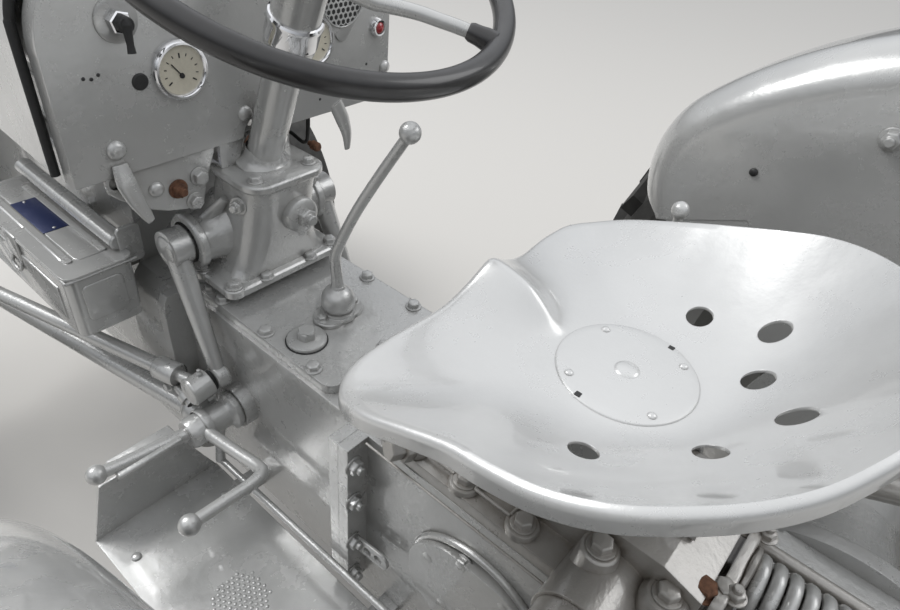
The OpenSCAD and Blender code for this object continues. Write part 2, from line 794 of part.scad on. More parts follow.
module steering_wheel() {
    color("black") place() translate(wheel_centre) rotate([column_lean, 0, 0]) {
        rotate_extrude($fn = 64) translate([wheel_r, 0]) circle(rim_r, $fn = 24);
        difference() {
            translate([0, 0, -28]) cylinder(h = 44, r = 30);
            translate([0, 0, -40]) cylinder(h = 50, r = 13 + fit);
        }
        translate([0, 0, 16]) cylinder(h = 12, r = 22);
        for (a = [-14, 106, 226]) rotate([0, 0, a]) {
            rod([20, 0, -8], [70, 0, 14], 8);
            translate([70, 0, 14]) sphere(8.2);
            rod([70, 0, 14], [150, 0, 14], 8);
            translate([150, 0, 14]) sphere(8.2);
            rod([150, 0, 14], [wheel_r - 4, 0, 0], 8);
        }
    }
}

module drop_arm(s) {
    color("gray") place() side(s) {
        translate([14, drop_y, drop_z]) along_x() cylinder(h = drop_arm_x - 14, r = kingpin_r);
        translate([drop_arm_x - 13, drop_y, drop_z]) along_x() cylinder(h = 28, r = 27);
        rod([drop_arm_x + 3, drop_y, drop_z], drop_eye, 16, 11);
        translate([drop_eye.x - 9, drop_eye.y, drop_eye.z]) along_x()
            cylinder(h = 18, r = 17);
        rod(drop_eye, drop_ball, 7);
        translate(drop_ball) sphere(13);
    }
}

module drop_arm_left() drop_arm(-1);
module drop_arm_right() drop_arm(1);

// Lays a solid that stands along Z along the hinge line of a drag link, which leans from X
module along_link_hinge() rotate([0, 97.7, 0]) children();

module drag_link(s) {
    toward = (steer_end - drop_ball) / norm(steer_end - drop_ball);
    color("gray") place() side(s) {
        difference() {
            union() {
                translate(drop_ball) along_link_hinge() translate([0, 0, -12])
                    cylinder(h = 32, r = 21);
                rod(drop_ball + toward * 17, drop_ball + toward * 60, 9);
            }
            translate(drop_ball) along_link_hinge() translate([0, 0, -60])
                cylinder(h = 76, r = 13 + hair);
        }
        rod(drop_ball + toward * 50, steer_end - toward * 50, 12);
        rod(drop_ball + toward * 46, drop_ball + toward * 84, 16);
        rod(steer_end - toward * 60, steer_end - toward * 12, 9);
        translate(steer_end - [0, 0, 13]) cylinder(h = 26, r = 20);
    }
}

module drag_link_left() drag_link(-1);
module drag_link_right() drag_link(1);

module knuckle(s) {
    low = front_z - 24;
    color("gray") place() side(s) {
        translate([kingpin_x, wheelbase, low]) cylinder(h = steer_arm_z + 20 - low, r = kingpin_r);
        translate([kingpin_x, wheelbase, low]) cylinder(h = 430 - hair - low, r = 25);
        translate([kingpin_x, wheelbase, front_z]) along_x() cylinder(h = 44, r = 24);
        translate([kingpin_x, wheelbase, front_z]) along_x()
            cylinder(h = front_x + 20 - kingpin_x, r = spindle_r);
        translate([kingpin_x, wheelbase, 546 + hair])
            cylinder(h = steer_arm_z + 12 - 546 - hair, r = 24);
        linear_arm([kingpin_x, wheelbase], [steer_end.x, steer_end.y], steer_arm_z, 12, 22, 18);
    }
}

module knuckle_left() knuckle(-1);
module knuckle_right() knuckle(1);

// Outline of half a tyre: columns are share of the height above the bead, share of half the width
TYRE_SIDE = [
    [0, 0.79], [0.095, 0.795], [0.16, 0.93], [0.33, 1], [0.58, 1], [0.78, 0.95], [0.91, 0.86],
    [0.97, 0.7]
];

function tyre_outline(bead_r, crown_r, w) = let(h = crown_r - bead_r) concat(
    [for (p = TYRE_SIDE) [bead_r + p[0] * h, p[1] * w / 2]],
    [[crown_r, 0]],
    [for (i = [len(TYRE_SIDE) - 1:-1:0])
        [bead_r + TYRE_SIDE[i][0] * h, -TYRE_SIDE[i][1] * w / 2]]
);

module front_rim(s) {
    w = 0.8 * front_tyre_w;
    color("silver") place() side(s) translate([front_x, wheelbase, front_z]) along_x()
        rotate_extrude() polygon([
            [spindle_r + fit, -64], [40, -64], [40, -20], [60, -8], [110, 14], [170, 10],
            [front_bead_r - 16, -6], [front_bead_r - 16, -14], [front_bead_r - 8, -w / 2],
            [front_bead_r + 9, -w / 2 - 5], [front_bead_r + 9, -w / 2],
            [front_bead_r - hair, -w / 2], [front_bead_r - hair, -w / 2 + 6], [front_bead_r - 12, 0], [front_bead_r - hair, w / 2 - 6],
            [front_bead_r - hair, w / 2], [front_bead_r + 9, w / 2], [front_bead_r + 9, w / 2 + 5], [front_bead_r - 8, w / 2],
            [front_bead_r - 16, 4], [170, 18], [108, 22], [56, 0], [40, -8], [40, 34],
            [0, 40], [0, 30], [spindle_r + fit, 30]
        ]);
}

module front_rim_left() front_rim(-1);
module front_rim_right() front_rim(1);

module front_tyre(s) {
    color("black") place() side(s) translate([front_x, wheelbase, front_z]) along_x()
        rotate_extrude() polygon(tyre_outline(front_bead_r, front_tyre_r, front_tyre_w));
}

module front_tyre_left() front_tyre(-1);
module front_tyre_right() front_tyre(1);

module rear_rim(s) {
    w = 0.80 * rear_tyre_w;
    hub = brake_x - rear_x;
    color("silver") place() side(s) translate([rear_x, 0, rear_z]) along_x()
        rotate_extrude() polygon([
            [0, hub - 55], [axle_r, hub - 55], [axle_r, hub + 6], [drum_r, hub + 6],
            [drum_r, hub + 58], [64, hub + 66], [64, -76], [105, -76], [160, -30],
            [230, 10], [rear_bead_r - 40, 0], [rear_bead_r - 30, -30],
            [rear_bead_r - 10, -w / 2], [rear_bead_r + 18, -w / 2 - 7], [rear_bead_r + 18, -w / 2],
            [rear_bead_r - hair, -w / 2], [rear_bead_r - hair, -w / 2 + 8], [rear_bead_r - 22, -20], [rear_bead_r - 22, 20],
            [rear_bead_r - hair, w / 2 - 8], [rear_bead_r - hair, w / 2], [rear_bead_r + 18, w / 2],
            [rear_bead_r + 18, w / 2 + 7], [rear_bead_r - 10, w / 2], [rear_bead_r - 30, 30],
            [rear_bead_r - 40, 12], [230, 20], [152, -20], [100, -64], [58, -64], [58, -40], [0, -34]
        ]);
}

module rear_rim_left() rear_rim(-1);
module rear_rim_right() rear_rim(1);

module rear_tyre(s) {
    step = 360 / rear_lugs;
    color("black") place() side(s) translate([rear_x, 0, rear_z]) {
        along_x() rotate_extrude()
            polygon(tyre_outline(rear_bead_r, rear_tyre_r - lug_h, rear_tyre_w));
        for (i = [0:rear_lugs - 1]) {
            rotate([(i + 0.25) * step, 0, 0]) lug();
            rotate([(i - 0.25) * step, 0, 0]) mirror([1, 0, 0]) lug();
        }
    }
}

// One lug of the outer half, standing on the tread and leaning down to the shoulder
module lug() {
    translate([4, 0, sqrt(rear_tyre_r * rear_tyre_r - 50 * 50)])
        rotate([0, lug_lean, 0])
        translate([0, 0, -lug_h - 14])
        linear_extrude(lug_h + 14)
        polygon([[0, -50], [46, -6], [122, 42], [122, 78], [40, 36], [0, -8]]);
}

module rear_tyre_left() rear_tyre(-1);
module rear_tyre_right() rear_tyre(1);

// Stations of the nose: columns are Y, half width, top, lower edge, corner radius
NOSE = [
    [nose_base_y, hood_w_front, hood_top_front, nose_low_z, 96],
    [nose_y - 70, hood_w_front - 26, hood_top_front - 8, nose_low_z, 92],
    [nose_y - 24, hood_w_front - 90, hood_top_front - 40, nose_low_z, 70],
    [nose_y - 2, hood_w_front - 190, hood_top_front - 92, nose_low_z, 50]
];

module hood_station(row, t) {
    plate_xz(row[0] - (t > 0 ? t : 0), 2)
        hood_outline(row[1] - 2 * t, row[2] - t, row[3] - (t > 0 ? 10 : 0), row[4] - t, $fn = 32);
}

module hood() {
    rear = [hood_y, hood_w_rear, hood_top_rear, hood_skirt_z, 112];
    front = [nose_base_y, hood_w_front, hood_top_front, hood_skirt_z, 96];
    color("gray") place() difference() {
        union() {
            difference() {
                hull() {
                    hood_station(rear, 0);
                    hood_station(front, 0);
                }
                hull() {
                    hood_station([rear[0] - 5, rear[1], rear[2], rear[3], rear[4]], sheet_t);
                    hood_station([front[0] + 9, front[1], front[2], front[3], front[4]], sheet_t);
                }
            }
            difference() {
                hull() for (row = NOSE) hood_station(row, 0);
                hull() {
                    hood_station([NOSE[0][0] - 9, NOSE[0][1], NOSE[0][2], NOSE[0][3], NOSE[0][4]], sheet_t);
                    for (i = [1:3]) hood_station(NOSE[i], sheet_t);
                }
            }
            for (s = [-1, 1]) side(s) {
                plate_yz(hinge_x + 8, 8) translate([hinge_y - 35, hinge_z - 16]) square([58, 44]);
                translate([hinge_x + 8, hinge_y - 35, hinge_z + 22]) cube([46.5, 12, 6]);
            }
        }
        for (s = [-1, 1]) side(s) {
            translate([hinge_x - 20, hinge_y, hinge_z]) along_x() cylinder(h = 60, r = 8 + fit);
            for (i = [0:9])
                translate([26 + i * 12.5, nose_y - 60, 640 + (i > 8 ? 20 : 0)])
                    cube([7, 80, 440 - i * i * 1.6]);
        }
    }
}

module grille() {
    color("gray") place() translate([-9, nose_y + hair, nose_low_z + 20]) cube([18, 5, 470]);
}

module lift_arms() {
    color("gray") place() {
        translate([-lift_boss_x - 34, lift_y, lift_z]) along_x()
            cylinder(h = 2 * lift_boss_x + 68, r = lift_shaft_r);
        for (s = [-1, 1]) side(s) {
            translate([lift_boss_x + hair, lift_y, lift_z]) along_x() cylinder(h = 34, r = 42);
            rod([lift_boss_x + 20, lift_y, lift_z], [rod_x - 24, arm_end[0], arm_end[1]], 19, 13);
            translate([rod_x - 30, arm_end[0], arm_end[1]]) along_x() cylinder(h = 16, r = 22);
            translate([rod_x - 24, arm_end[0], arm_end[1]]) along_x() cylinder(h = 35, r = 9);
        }
    }
}

module lift_rods() {
    color("gray") place() for (s = [-1, 1]) side(s) difference() {
        union() {
            rod([rod_x, arm_end[0], arm_end[1]], [rod_x, rod_end[0], rod_end[1]], 11);
            for (p = [arm_end, rod_end])
                translate([rod_x - 7, p[0], p[1]]) along_x() cylinder(h = 14, r = 24);
        }
        translate([rod_x - 30, arm_end[0], arm_end[1]]) along_x() cylinder(h = 60, r = 9 + fit);
        translate([rod_x - 30, rod_end[0], rod_end[1]]) along_x() cylinder(h = 60, r = 14);
    }
}

module lower_link(s) {
    a = [link_front_x, link_pin_y, link_pin_z];
    b = [link_spread / 2, link_end_y, link_end_z];
    color("gray") place() side(s) difference() {
        union() {
            hull() {
                translate(a) along_x() cylinder(h = 12, r = 24, center = true, $fn = 32);
                translate(b) along_x() cylinder(h = 12, r = link_eye_r, center = true, $fn = 32);
            }
            translate(b) along_x() cylinder(h = ball_w, r = 17, center = true);
            translate([rod_x - 12, rod_end[0], rod_end[1]]) along_x()
                cylinder(h = rod_pin_x - rod_x + 12, r = 9);
        }
        translate(a - [40, 0, 0]) along_x() cylinder(h = 80, r = link_pin_r + fit);
        translate(b - [40, 0, 0]) along_x() cylinder(h = 80, r = link_bore_r);
    }
}

module lower_link_left() lower_link(-1);
module lower_link_right() lower_link(1);

center_housing();
lift_cover();
gearbox_housing();
gearbox_cover();
steering_box();
steering_column();
axle_trumpets();
engine();
manifold();
fan();
radiator();
front_support();
front_axle();
radius_rods();
fuel_tank();
dash_panel();
toolbox();
toolbox_lid();
fender_left();
fender_right();
footplates();
seat();
seat_spring();
pedals();
gear_lever();
lift_quadrant();
draft_spring();
headlamps();
steering_wheel();
drop_arm_left();
drop_arm_right();
drag_link_left();
drag_link_right();
knuckle_left();
knuckle_right();
front_rim_left();
front_rim_right();
front_tyre_left();
front_tyre_right();
rear_rim_left();
rear_rim_right();
rear_tyre_left();
rear_tyre_right();
hood();
grille();
lift_arms();
lift_rods();
lower_link_left();
lower_link_right();
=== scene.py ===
import math
import bmesh
import bpy
from mathutils import Matrix, Vector


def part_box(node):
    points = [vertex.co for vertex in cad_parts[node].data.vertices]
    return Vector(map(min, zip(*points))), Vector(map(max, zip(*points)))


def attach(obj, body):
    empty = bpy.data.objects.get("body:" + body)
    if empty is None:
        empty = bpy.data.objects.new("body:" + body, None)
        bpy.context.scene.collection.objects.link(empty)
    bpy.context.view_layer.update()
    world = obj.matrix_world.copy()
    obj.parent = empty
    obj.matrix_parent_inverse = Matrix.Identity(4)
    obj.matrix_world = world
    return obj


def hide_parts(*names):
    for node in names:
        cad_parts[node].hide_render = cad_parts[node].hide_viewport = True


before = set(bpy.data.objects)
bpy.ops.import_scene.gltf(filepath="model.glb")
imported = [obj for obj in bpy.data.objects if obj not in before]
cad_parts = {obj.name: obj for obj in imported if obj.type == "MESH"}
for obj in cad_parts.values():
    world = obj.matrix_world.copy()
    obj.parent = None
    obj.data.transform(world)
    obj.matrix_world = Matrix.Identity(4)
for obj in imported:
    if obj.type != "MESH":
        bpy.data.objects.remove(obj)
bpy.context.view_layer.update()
print("stage: frame loaded")

# directions, and places in millimetres: x to the right, y ahead of the rear axle, z up
right, ahead, back, up = (1, 0, 0), (0, 1, 0), (0, -1, 0), (0, 0, 1)
lo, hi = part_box("rear_rim_left")
axleY = (lo.y + hi.y) / 2
lo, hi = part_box("front_rim_left")
frontAxleY = ((lo.y + hi.y) / 2 - axleY) * 1000


def at(x, y, z):
    return Vector((x / 1000, axleY + y / 1000, z / 1000))


def cosd(angle):
    return math.cos(math.radians(angle))


def sind(angle):
    return math.sin(math.radians(angle))


def arc(r, angles, cx=0, cy=0):
    return [(cx + r * cosd(a), cy + r * sind(a)) for a in angles]


def nodeBox(name):
    lo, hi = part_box(name)
    shift = Vector((0, axleY, 0))
    return (lo - shift) * 1000, (hi - shift) * 1000


# materials
def newMaterial(name):
    mat = bpy.data.materials.new(name)
    mat.use_nodes = True
    tree = mat.node_tree
    shader = tree.nodes["Principled BSDF"]
    return mat, tree, shader


def link(tree, a, aName, b, bName):
    tree.links.new(a.outputs[aName], b.inputs[bName])


def noise(tree, coords, scale, detail=4, roughness=0.6):
    n = tree.nodes.new("ShaderNodeTexNoise")
    n.inputs["Scale"].default_value = scale
    n.inputs["Detail"].default_value = detail
    n.inputs["Roughness"].default_value = roughness
    link(tree, coords, "Object", n, "Vector")
    return n


def ramp(tree, source, sourceName, stops):
    r = tree.nodes.new("ShaderNodeValToRGB")
    r.color_ramp.elements[0].position = stops[0][0]
    r.color_ramp.elements[0].color = (*stops[0][1], 1)
    r.color_ramp.elements[1].position = stops[-1][0]
    r.color_ramp.elements[1].color = (*stops[-1][1], 1)
    for pos, colour in stops[1:-1]:
        r.color_ramp.elements.new(pos).color = (*colour, 1)
    link(tree, source, sourceName, r, "Fac")
    return r


def mixColour(tree, facNode, facName, a, b):
    m = tree.nodes.new("ShaderNodeMix")
    m.data_type = "RGBA"
    tree.links.new(facNode.outputs[facName], m.inputs[0])
    for socket, value in ((m.inputs[6], a), (m.inputs[7], b)):
        if isinstance(value, tuple):
            socket.default_value = (*value, 1)
        else:
            tree.links.new(value, socket)
    return m


def toneStops(colour, spread):
    # a little darker and a little lighter than the colour
    return [(0.3, tuple(c * (1 - spread) for c in colour)), (0.7, tuple(min(1, c * (1 + spread)) for c in colour))]


def mapRange(tree, source, sourceName, fromMin, fromMax, toMin, toMax):
    m = tree.nodes.new("ShaderNodeMapRange")
    link(tree, source, sourceName, m, "Value")
    for name, value in zip(("From Min", "From Max", "To Min", "To Max"), (fromMin, fromMax, toMin, toMax)):
        m.inputs[name].default_value = value
    return m


def weighed(tree, a, aName, weight, b, bName):
    # a times the weight, plus b
    m = tree.nodes.new("ShaderNodeMath")
    m.operation = "MULTIPLY_ADD"
    link(tree, a, aName, m, 0)
    m.inputs[1].default_value = weight
    link(tree, b, bName, m, 2)
    return m


def bumpFrom(tree, source, sourceName, strength, distance):
    rise = tree.nodes.new("ShaderNodeBump")
    rise.inputs["Strength"].default_value = strength
    rise.inputs["Distance"].default_value = distance
    link(tree, source, sourceName, rise, "Height")
    return rise


# what all sprayed paints share: reaches in metres, noise scales, weights and ranges
paintSet = {"cornerShadeReach": 0.022, "dirtScale": 60, "cornerShadeWeight": 1.4, "dirtAndShadeFrom": 0.95, "dirtAndShadeTo": 1.65,
            "toneScale": 3.5, "smearScale": 14, "smearFrom": 0.35, "smearTo": 0.7, "roughSpread": 0.14,
            "dentScale": 9, "dentWeight": 2.5, "bumpDepth": 0.0012, "coatRough": 0.06, "specular": 0.7}


def paint(name, colour, dirtAndShadeColour=(0.10, 0.085, 0.065), dirtAndShadeAmount=0.35, rough=0.2, bumpSize=900, bump=0.05, edge=1.6,
          coat=0.9, mottle=0.06, sheen=0.35):
    p = paintSet
    mat, tree, shader = newMaterial(name)
    coords = tree.nodes.new("ShaderNodeTexCoord")
    tone = ramp(tree, noise(tree, coords, p["toneScale"], 5), "Fac", toneStops(colour, mottle))
    # painted shade: ambient occlusion darkens corners and creases, mixed with noise spots of dirt
    corner = tree.nodes.new("ShaderNodeAmbientOcclusion")
    corner.samples = 4
    corner.inputs["Distance"].default_value = p["cornerShadeReach"]
    shadeAndDirtSpots = weighed(tree, corner, "AO", p["cornerShadeWeight"], noise(tree, coords, p["dirtScale"], 6, 0.7), "Fac")
    dirtAndShadeMask = mapRange(tree, shadeAndDirtSpots, "Value", p["dirtAndShadeFrom"], p["dirtAndShadeTo"], dirtAndShadeAmount, 0)
    colourMix = mixColour(tree, dirtAndShadeMask, "Result", tone.outputs["Color"], dirtAndShadeColour)
    tree.links.new(colourMix.outputs[2], shader.inputs["Base Color"])
    # smears in the gloss
    smear = noise(tree, coords, p["smearScale"], 6, 0.65)
    roughMap = mapRange(tree, smear, "Fac", p["smearFrom"], p["smearTo"], rough, rough + p["roughSpread"])
    link(tree, roughMap, "Result", shader, "Roughness")
    # orange peel over shallow dents, with the edges rounded off
    peel = noise(tree, coords, bumpSize / 10, 3)
    dents = noise(tree, coords, p["dentScale"], 2)
    uneven = weighed(tree, dents, "Fac", p["dentWeight"], peel, "Fac")
    rise = bumpFrom(tree, uneven, "Value", bump * 4, p["bumpDepth"])
    soft = tree.nodes.new("ShaderNodeBevel")
    soft.samples = 4
    soft.inputs["Radius"].default_value = edge / 1000
    link(tree, soft, "Normal", rise, "Normal")
    link(tree, rise, "Normal", shader, "Normal")
    shader.inputs["Coat Weight"].default_value = coat
    shader.inputs["Coat Roughness"].default_value = p["coatRough"]
    shader.inputs["Metallic"].default_value = sheen
    shader.inputs["Specular IOR Level"].default_value = p["specular"]
    return mat


def plain(name, colour, rough=0.5, metal=0.0, bumpSize=200, bump=0.2, variation=0.2, coat=0.0):
    mat, tree, shader = newMaterial(name)
    coords = tree.nodes.new("ShaderNodeTexCoord")
    grain = noise(tree, coords, bumpSize, 5)
    link(tree, ramp(tree, grain, "Fac", toneStops(colour, variation)), "Color", shader, "Base Color")
    link(tree, bumpFrom(tree, grain, "Fac", bump, 0.0008), "Normal", shader, "Normal")
    shader.inputs["Roughness"].default_value = rough
    shader.inputs["Metallic"].default_value = metal
    shader.inputs["Coat Weight"].default_value = coat
    return mat


# every paint below darkens its corners with painted shade mixed with dirt
greyPaint = paint("greyPaint", (0.46, 0.46, 0.45))
castPaint = paint("castPaint", (0.44, 0.44, 0.43), rough=0.23, bumpSize=1600, bump=0.13, edge=2.6, mottle=0.09)
wornPaint = paint("wornPaint", (0.345, 0.33, 0.308), dirtAndShadeColour=(0.12, 0.09, 0.06), dirtAndShadeAmount=0.6, rough=0.27,
                  bumpSize=1600, bump=0.14, edge=2.6, mottle=0.14)
seatPaint = paint("seatPaint", (0.53, 0.53, 0.522), dirtAndShadeAmount=0.12, rough=0.24)
# black for the rubber parts, also used as painted shade in holes and slots
blackRubber = plain("blackRubber", (0.018, 0.018, 0.018), 0.55)
wheelBlack = plain("wheelBlack", (0.020, 0.019, 0.019), 0.32, bumpSize=60, bump=0.1, coat=0.3)
plain("tyreRubber", (0.030, 0.029, 0.027), 0.72, bumpSize=40, bump=0.5, variation=0.45)
chrome = plain("chrome", (0.75, 0.75, 0.76), 0.08, 1.0, bumpSize=30, bump=0.03, variation=0.05)
rustBrown = plain("rustBrown", (0.13, 0.062, 0.035), 0.85, 0.1, bumpSize=130, bump=0.6, variation=0.5)
paint("wheelPaint", (0.40, 0.40, 0.39), rough=0.3)
print("stage: materials")

# CAD nodes get their finish, by the material's name
finishes = {
    "greyPaint": ["hood", "grille", "fender_left", "fender_right", "toolbox", "toolbox_lid", "dash_panel",
                  "fuel_tank", "footplates", "steering_column", "headlamps"],
    "wornPaint": ["lift_cover", "lift_arms", "lift_rods"],
    "castPaint": ["center_housing", "gearbox_housing", "gearbox_cover", "steering_box", "axle_trumpets",
                  "engine", "front_support", "front_axle", "radius_rods", "pedals", "gear_lever",
                  "lift_quadrant",
                  "draft_spring", "drop_arm_left", "drop_arm_right", "drag_link_left", "drag_link_right",
                  "knuckle_left", "knuckle_right", "lower_link_left", "lower_link_right",
                  "seat_spring", "fan", "radiator"],
    "seatPaint": ["seat"],
    "wheelBlack": ["steering_wheel"],
    "rustBrown": ["manifold"],
    "wheelPaint": ["front_rim_left", "front_rim_right", "rear_rim_left", "rear_rim_right"],
    "tyreRubber": ["front_tyre_left", "front_tyre_right", "rear_tyre_left", "rear_tyre_right"],
}
for matName, nodes in finishes.items():
    for node in nodes:
        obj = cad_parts[node]
        for materialSlot in obj.material_slots:
            materialSlot.link = "OBJECT"
            materialSlot.material = bpy.data.materials[matName]
print("stage: CAD finishes")


def piece(name, mesh, mat, body="root", smooth=32):
    mesh.materials.append(mat)
    mesh.shade_smooth()
    mesh.set_sharp_from_angle(angle=math.radians(smooth))
    obj = bpy.data.objects.new(name, mesh)
    bpy.context.scene.collection.objects.link(obj)
    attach(obj, body)
    return obj


def fromBmesh(name, bm):
    bmesh.ops.recalc_face_normals(bm, faces=bm.faces)
    mesh = bpy.data.meshes.new(name)
    bm.to_mesh(mesh)
    bm.free()
    return mesh


def smoothPath(points, per=8, closed=False):
    pts = [Vector(p) for p in points]
    n = len(pts)
    out = []
    for i in range(n if closed else n - 1):
        if closed:
            p0, p1, p2, p3 = (pts[(i + k) % n] for k in (-1, 0, 1, 2))
        else:
            p0, p1, p2, p3 = pts[max(i - 1, 0)], pts[i], pts[i + 1], pts[min(i + 2, n - 1)]
        for k in range(per):
            t = k / per
            out.append(0.5 * ((2 * p1) + (p2 - p0) * t + (2 * p0 - 5 * p1 + 4 * p2 - p3) * t * t
                              + (3 * p1 - p0 - 3 * p2 + p3) * t * t * t))
    if not closed:
        out.append(pts[-1])
    return out


def joinLoops(bm, loops):
    # a skin between rings of points; a ring of one point closes an end
    for a, b in zip(loops, loops[1:]):
        n = max(len(a), len(b))
        for k in range(n):
            k2 = (k + 1) % n
            quad = [a[k % len(a)], a[k2 % len(a)], b[k2 % len(b)], b[k % len(b)]]
            quad = [q for i, q in enumerate(quad) if q not in quad[:i]]
            if len(quad) > 2:
                bm.faces.new(quad)


def rings(bm, path, radii, sides, closed=False, flat=None):
    # rings carried along the path without twist; flat squeezes them along the first ring axis
    n = len(path)
    normal = None
    squeeze = flat[0] if flat else 1
    loops = []
    for i, p in enumerate(path):
        a = path[(i - 1) % n] if closed or i > 0 else path[i]
        b = path[(i + 1) % n] if closed or i < n - 1 else path[i]
        tangent = (b - a).normalized()
        if normal is None:
            normal = flat[1] if flat else tangent.orthogonal().normalized()
        if flat or i > 0:
            normal = (normal - tangent * normal.dot(tangent)).normalized()
        side = tangent.cross(normal)
        r = radii[i] if isinstance(radii, (list, tuple)) else radii
        turns = [2 * math.pi * k / sides for k in range(sides)]
        loops.append([bm.verts.new(at(*(p + normal * (r * squeeze * math.cos(t)) + side * (r * math.sin(t)))))
                      for t in turns])
    joinLoops(bm, loops + loops[:1] if closed else loops)
    if not closed:
        bm.faces.new(loops[0])
        bm.faces.new(loops[-1])


def tube(name, points, radius, mat, body="root", sides=20, per=8, closed=False, straight=False, flat=None, smooth=40):
    path = [Vector(p) for p in points] if straight else smoothPath(points, per, closed)
    if isinstance(radius, (list, tuple)) and not straight:
        spread = []
        for a, b in zip(radius, radius[1:]):
            spread += [a + (b - a) * k / per for k in range(per)]
        radius = spread + [radius[-1]]
    bm = bmesh.new()
    rings(bm, path, radius, sides, closed, flat)
    return piece(name, fromBmesh(name, bm), mat, body, smooth)


def turnedLoops(bm, profile, sides, place):
    # profile holds (radius, height) rows; a radius of 0 closes the end
    loops = []
    for r, h in profile:
        turns = [2 * math.pi * k / sides for k in range(sides)] if r else [0]
        loops.append([bm.verts.new(place(r * math.cos(t), r * math.sin(t), h)) for t in turns])
    joinLoops(bm, loops)


def turned(bm, profile, origin, axis, sides=48):
    axis = Vector(axis).normalized()
    u = axis.orthogonal().normalized()
    v = axis.cross(u)
    o = Vector(origin)
    turnedLoops(bm, profile, sides, lambda x, y, h: at(*(o + axis * h + u * x + v * y)))


def lathe(name, profile, origin, axis, mat, body="root", sides=48, smooth=32):
    bm = bmesh.new()
    turned(bm, profile, origin, axis, sides)
    return piece(name, fromBmesh(name, bm), mat, body, smooth)


def boxInto(bm, low, high, bevel=2, segments=3, turn=None):
    lo, hi = Vector(low), Vector(high)
    made = bmesh.ops.create_cube(bm, size=1)["verts"]
    mid = (lo + hi) / 2
    for v in made:
        p = Vector((v.co.x * (hi.x - lo.x), v.co.y * (hi.y - lo.y), v.co.z * (hi.z - lo.z)))
        v.co = p if turn is None else turn @ p
        v.co += mid
    if bevel:
        edges = {e for v in made for e in v.link_edges}
        made = bmesh.ops.bevel(bm, geom=list(edges), offset=bevel, segments=segments, profile=0.5,
                               affect="EDGES")["verts"]
        made = list({v for f in {f for v in made for f in v.link_faces} for v in f.verts})
    return made


def toPlace(bm):
    for v in bm.verts:
        v.co = at(*v.co)


def block(name, low, high, mat, body="root", bevel=2, segments=3, turn=None):
    bm = bmesh.new()
    boxInto(bm, low, high, bevel, segments, turn)
    toPlace(bm)
    return piece(name, fromBmesh(name, bm), mat, body)


def plate(name, outline, thick, frameOf, mat, body="root", bevel=1.5, holes=()):
    # outline in the plate's own u and v; frameOf is (origin, u axis, v axis)
    o, u, v = (Vector(a) for a in frameOf)
    w = u.cross(v).normalized()
    bm = bmesh.new()
    low = [bm.verts.new(o + u * a + v * b) for a, b in outline]
    face = bm.faces.new(low)
    grown = bmesh.ops.extrude_face_region(bm, geom=[face])["geom"]
    bmesh.ops.translate(bm, verts=[g for g in grown if isinstance(g, bmesh.types.BMVert)], vec=w * thick)
    if bevel:
        top = [e for e in bm.edges if all((vert.co - o).dot(w) > thick * 0.9 for vert in e.verts)]
        bmesh.ops.bevel(bm, geom=top, offset=bevel, segments=3, profile=0.5, affect="EDGES")
    toPlace(bm)
    obj = piece(name, fromBmesh(name, bm), mat, body)
    if holes:
        cut(obj, [(o + u * a + v * b, w, r) for a, b, r in holes])
    return obj


def cut(obj, holes, depth=40, sides=32):
    # round holes through a piece; each is (centre, axis, radius)
    bm = bmesh.new()
    for centre, axis, r in holes:
        turned(bm, [(0, -depth), (r, -depth), (r, depth), (0, depth)], centre, axis, sides)
    mesh = fromBmesh("cutter", bm)
    cutter = bpy.data.objects.new("cutter", mesh)
    bpy.context.scene.collection.objects.link(cutter)
    mod = obj.modifiers.new("holes", "BOOLEAN")
    mod.operation = "DIFFERENCE"
    mod.solver = "EXACT"
    mod.object = cutter
    apply(obj)
    bpy.data.objects.remove(cutter)


def thicken(obj, thick, smooth):
    # a sheet gets its thickness on the inside
    sheet = obj.modifiers.new("sheet", "SOLIDIFY")
    sheet.thickness = thick / 1000
    sheet.offset = -1
    apply(obj, smooth)


def apply(obj, smooth=32):
    bpy.context.view_layer.update()
    seen = obj.evaluated_get(bpy.context.evaluated_depsgraph_get())
    mesh = bpy.data.meshes.new_from_object(seen)
    obj.modifiers.clear()
    obj.data = mesh
    mesh.shade_smooth()
    mesh.set_sharp_from_angle(angle=math.radians(smooth))


def roundedOutline(w, h, r, steps=5):
    pts = []
    for cx, cy, start in ((1, 1, 0), (-1, 1, 90), (-1, -1, 180), (1, -1, 270)):
        pts += arc(r, [start + 90 * k / steps for k in range(steps + 1)], cx * (w / 2 - r), cy * (h / 2 - r))
    return pts


# fastener shapes, one unit across, standing on their own z
def fastener(name, build):
    bm = bmesh.new()
    build(bm)
    mesh = fromBmesh(name, bm)
    mesh.shade_smooth()
    mesh.set_sharp_from_angle(angle=math.radians(30))
    obj = bpy.data.objects.new(name, mesh)
    return obj


def unitTurned(bm, profile, sides):
    turnedLoops(bm, profile, sides, lambda x, y, h: (x, y, h))


def hexBolt(bm):
    unitTurned(bm, [(0, 0), (0.74, 0), (0.76, 0.04), (0.74, 0.11), (0.70, 0.12), (0, 0.12)], 28)
    unitTurned(bm, [(0, 0.12), (0.577, 0.12), (0.577, 0.50), (0.52, 0.56), (0.44, 0.585), (0, 0.59)], 6)


def hexNut(bm):
    hexBolt(bm)
    unitTurned(bm, [(0.31, 0.55), (0.31, 0.86), (0.27, 0.92), (0, 0.92)], 20)


def domeBolt(bm):
    unitTurned(bm, [(0, 0), (0.5, 0), (0.5, 0.05), (0.46, 0.15), (0.36, 0.24), (0.2, 0.3), (0, 0.32)], 24)


boltShapes = {"hex": fastener("hexBolt", hexBolt), "nut": fastener("hexNut", hexNut),
              "dome": fastener("domeBolt", domeBolt)}


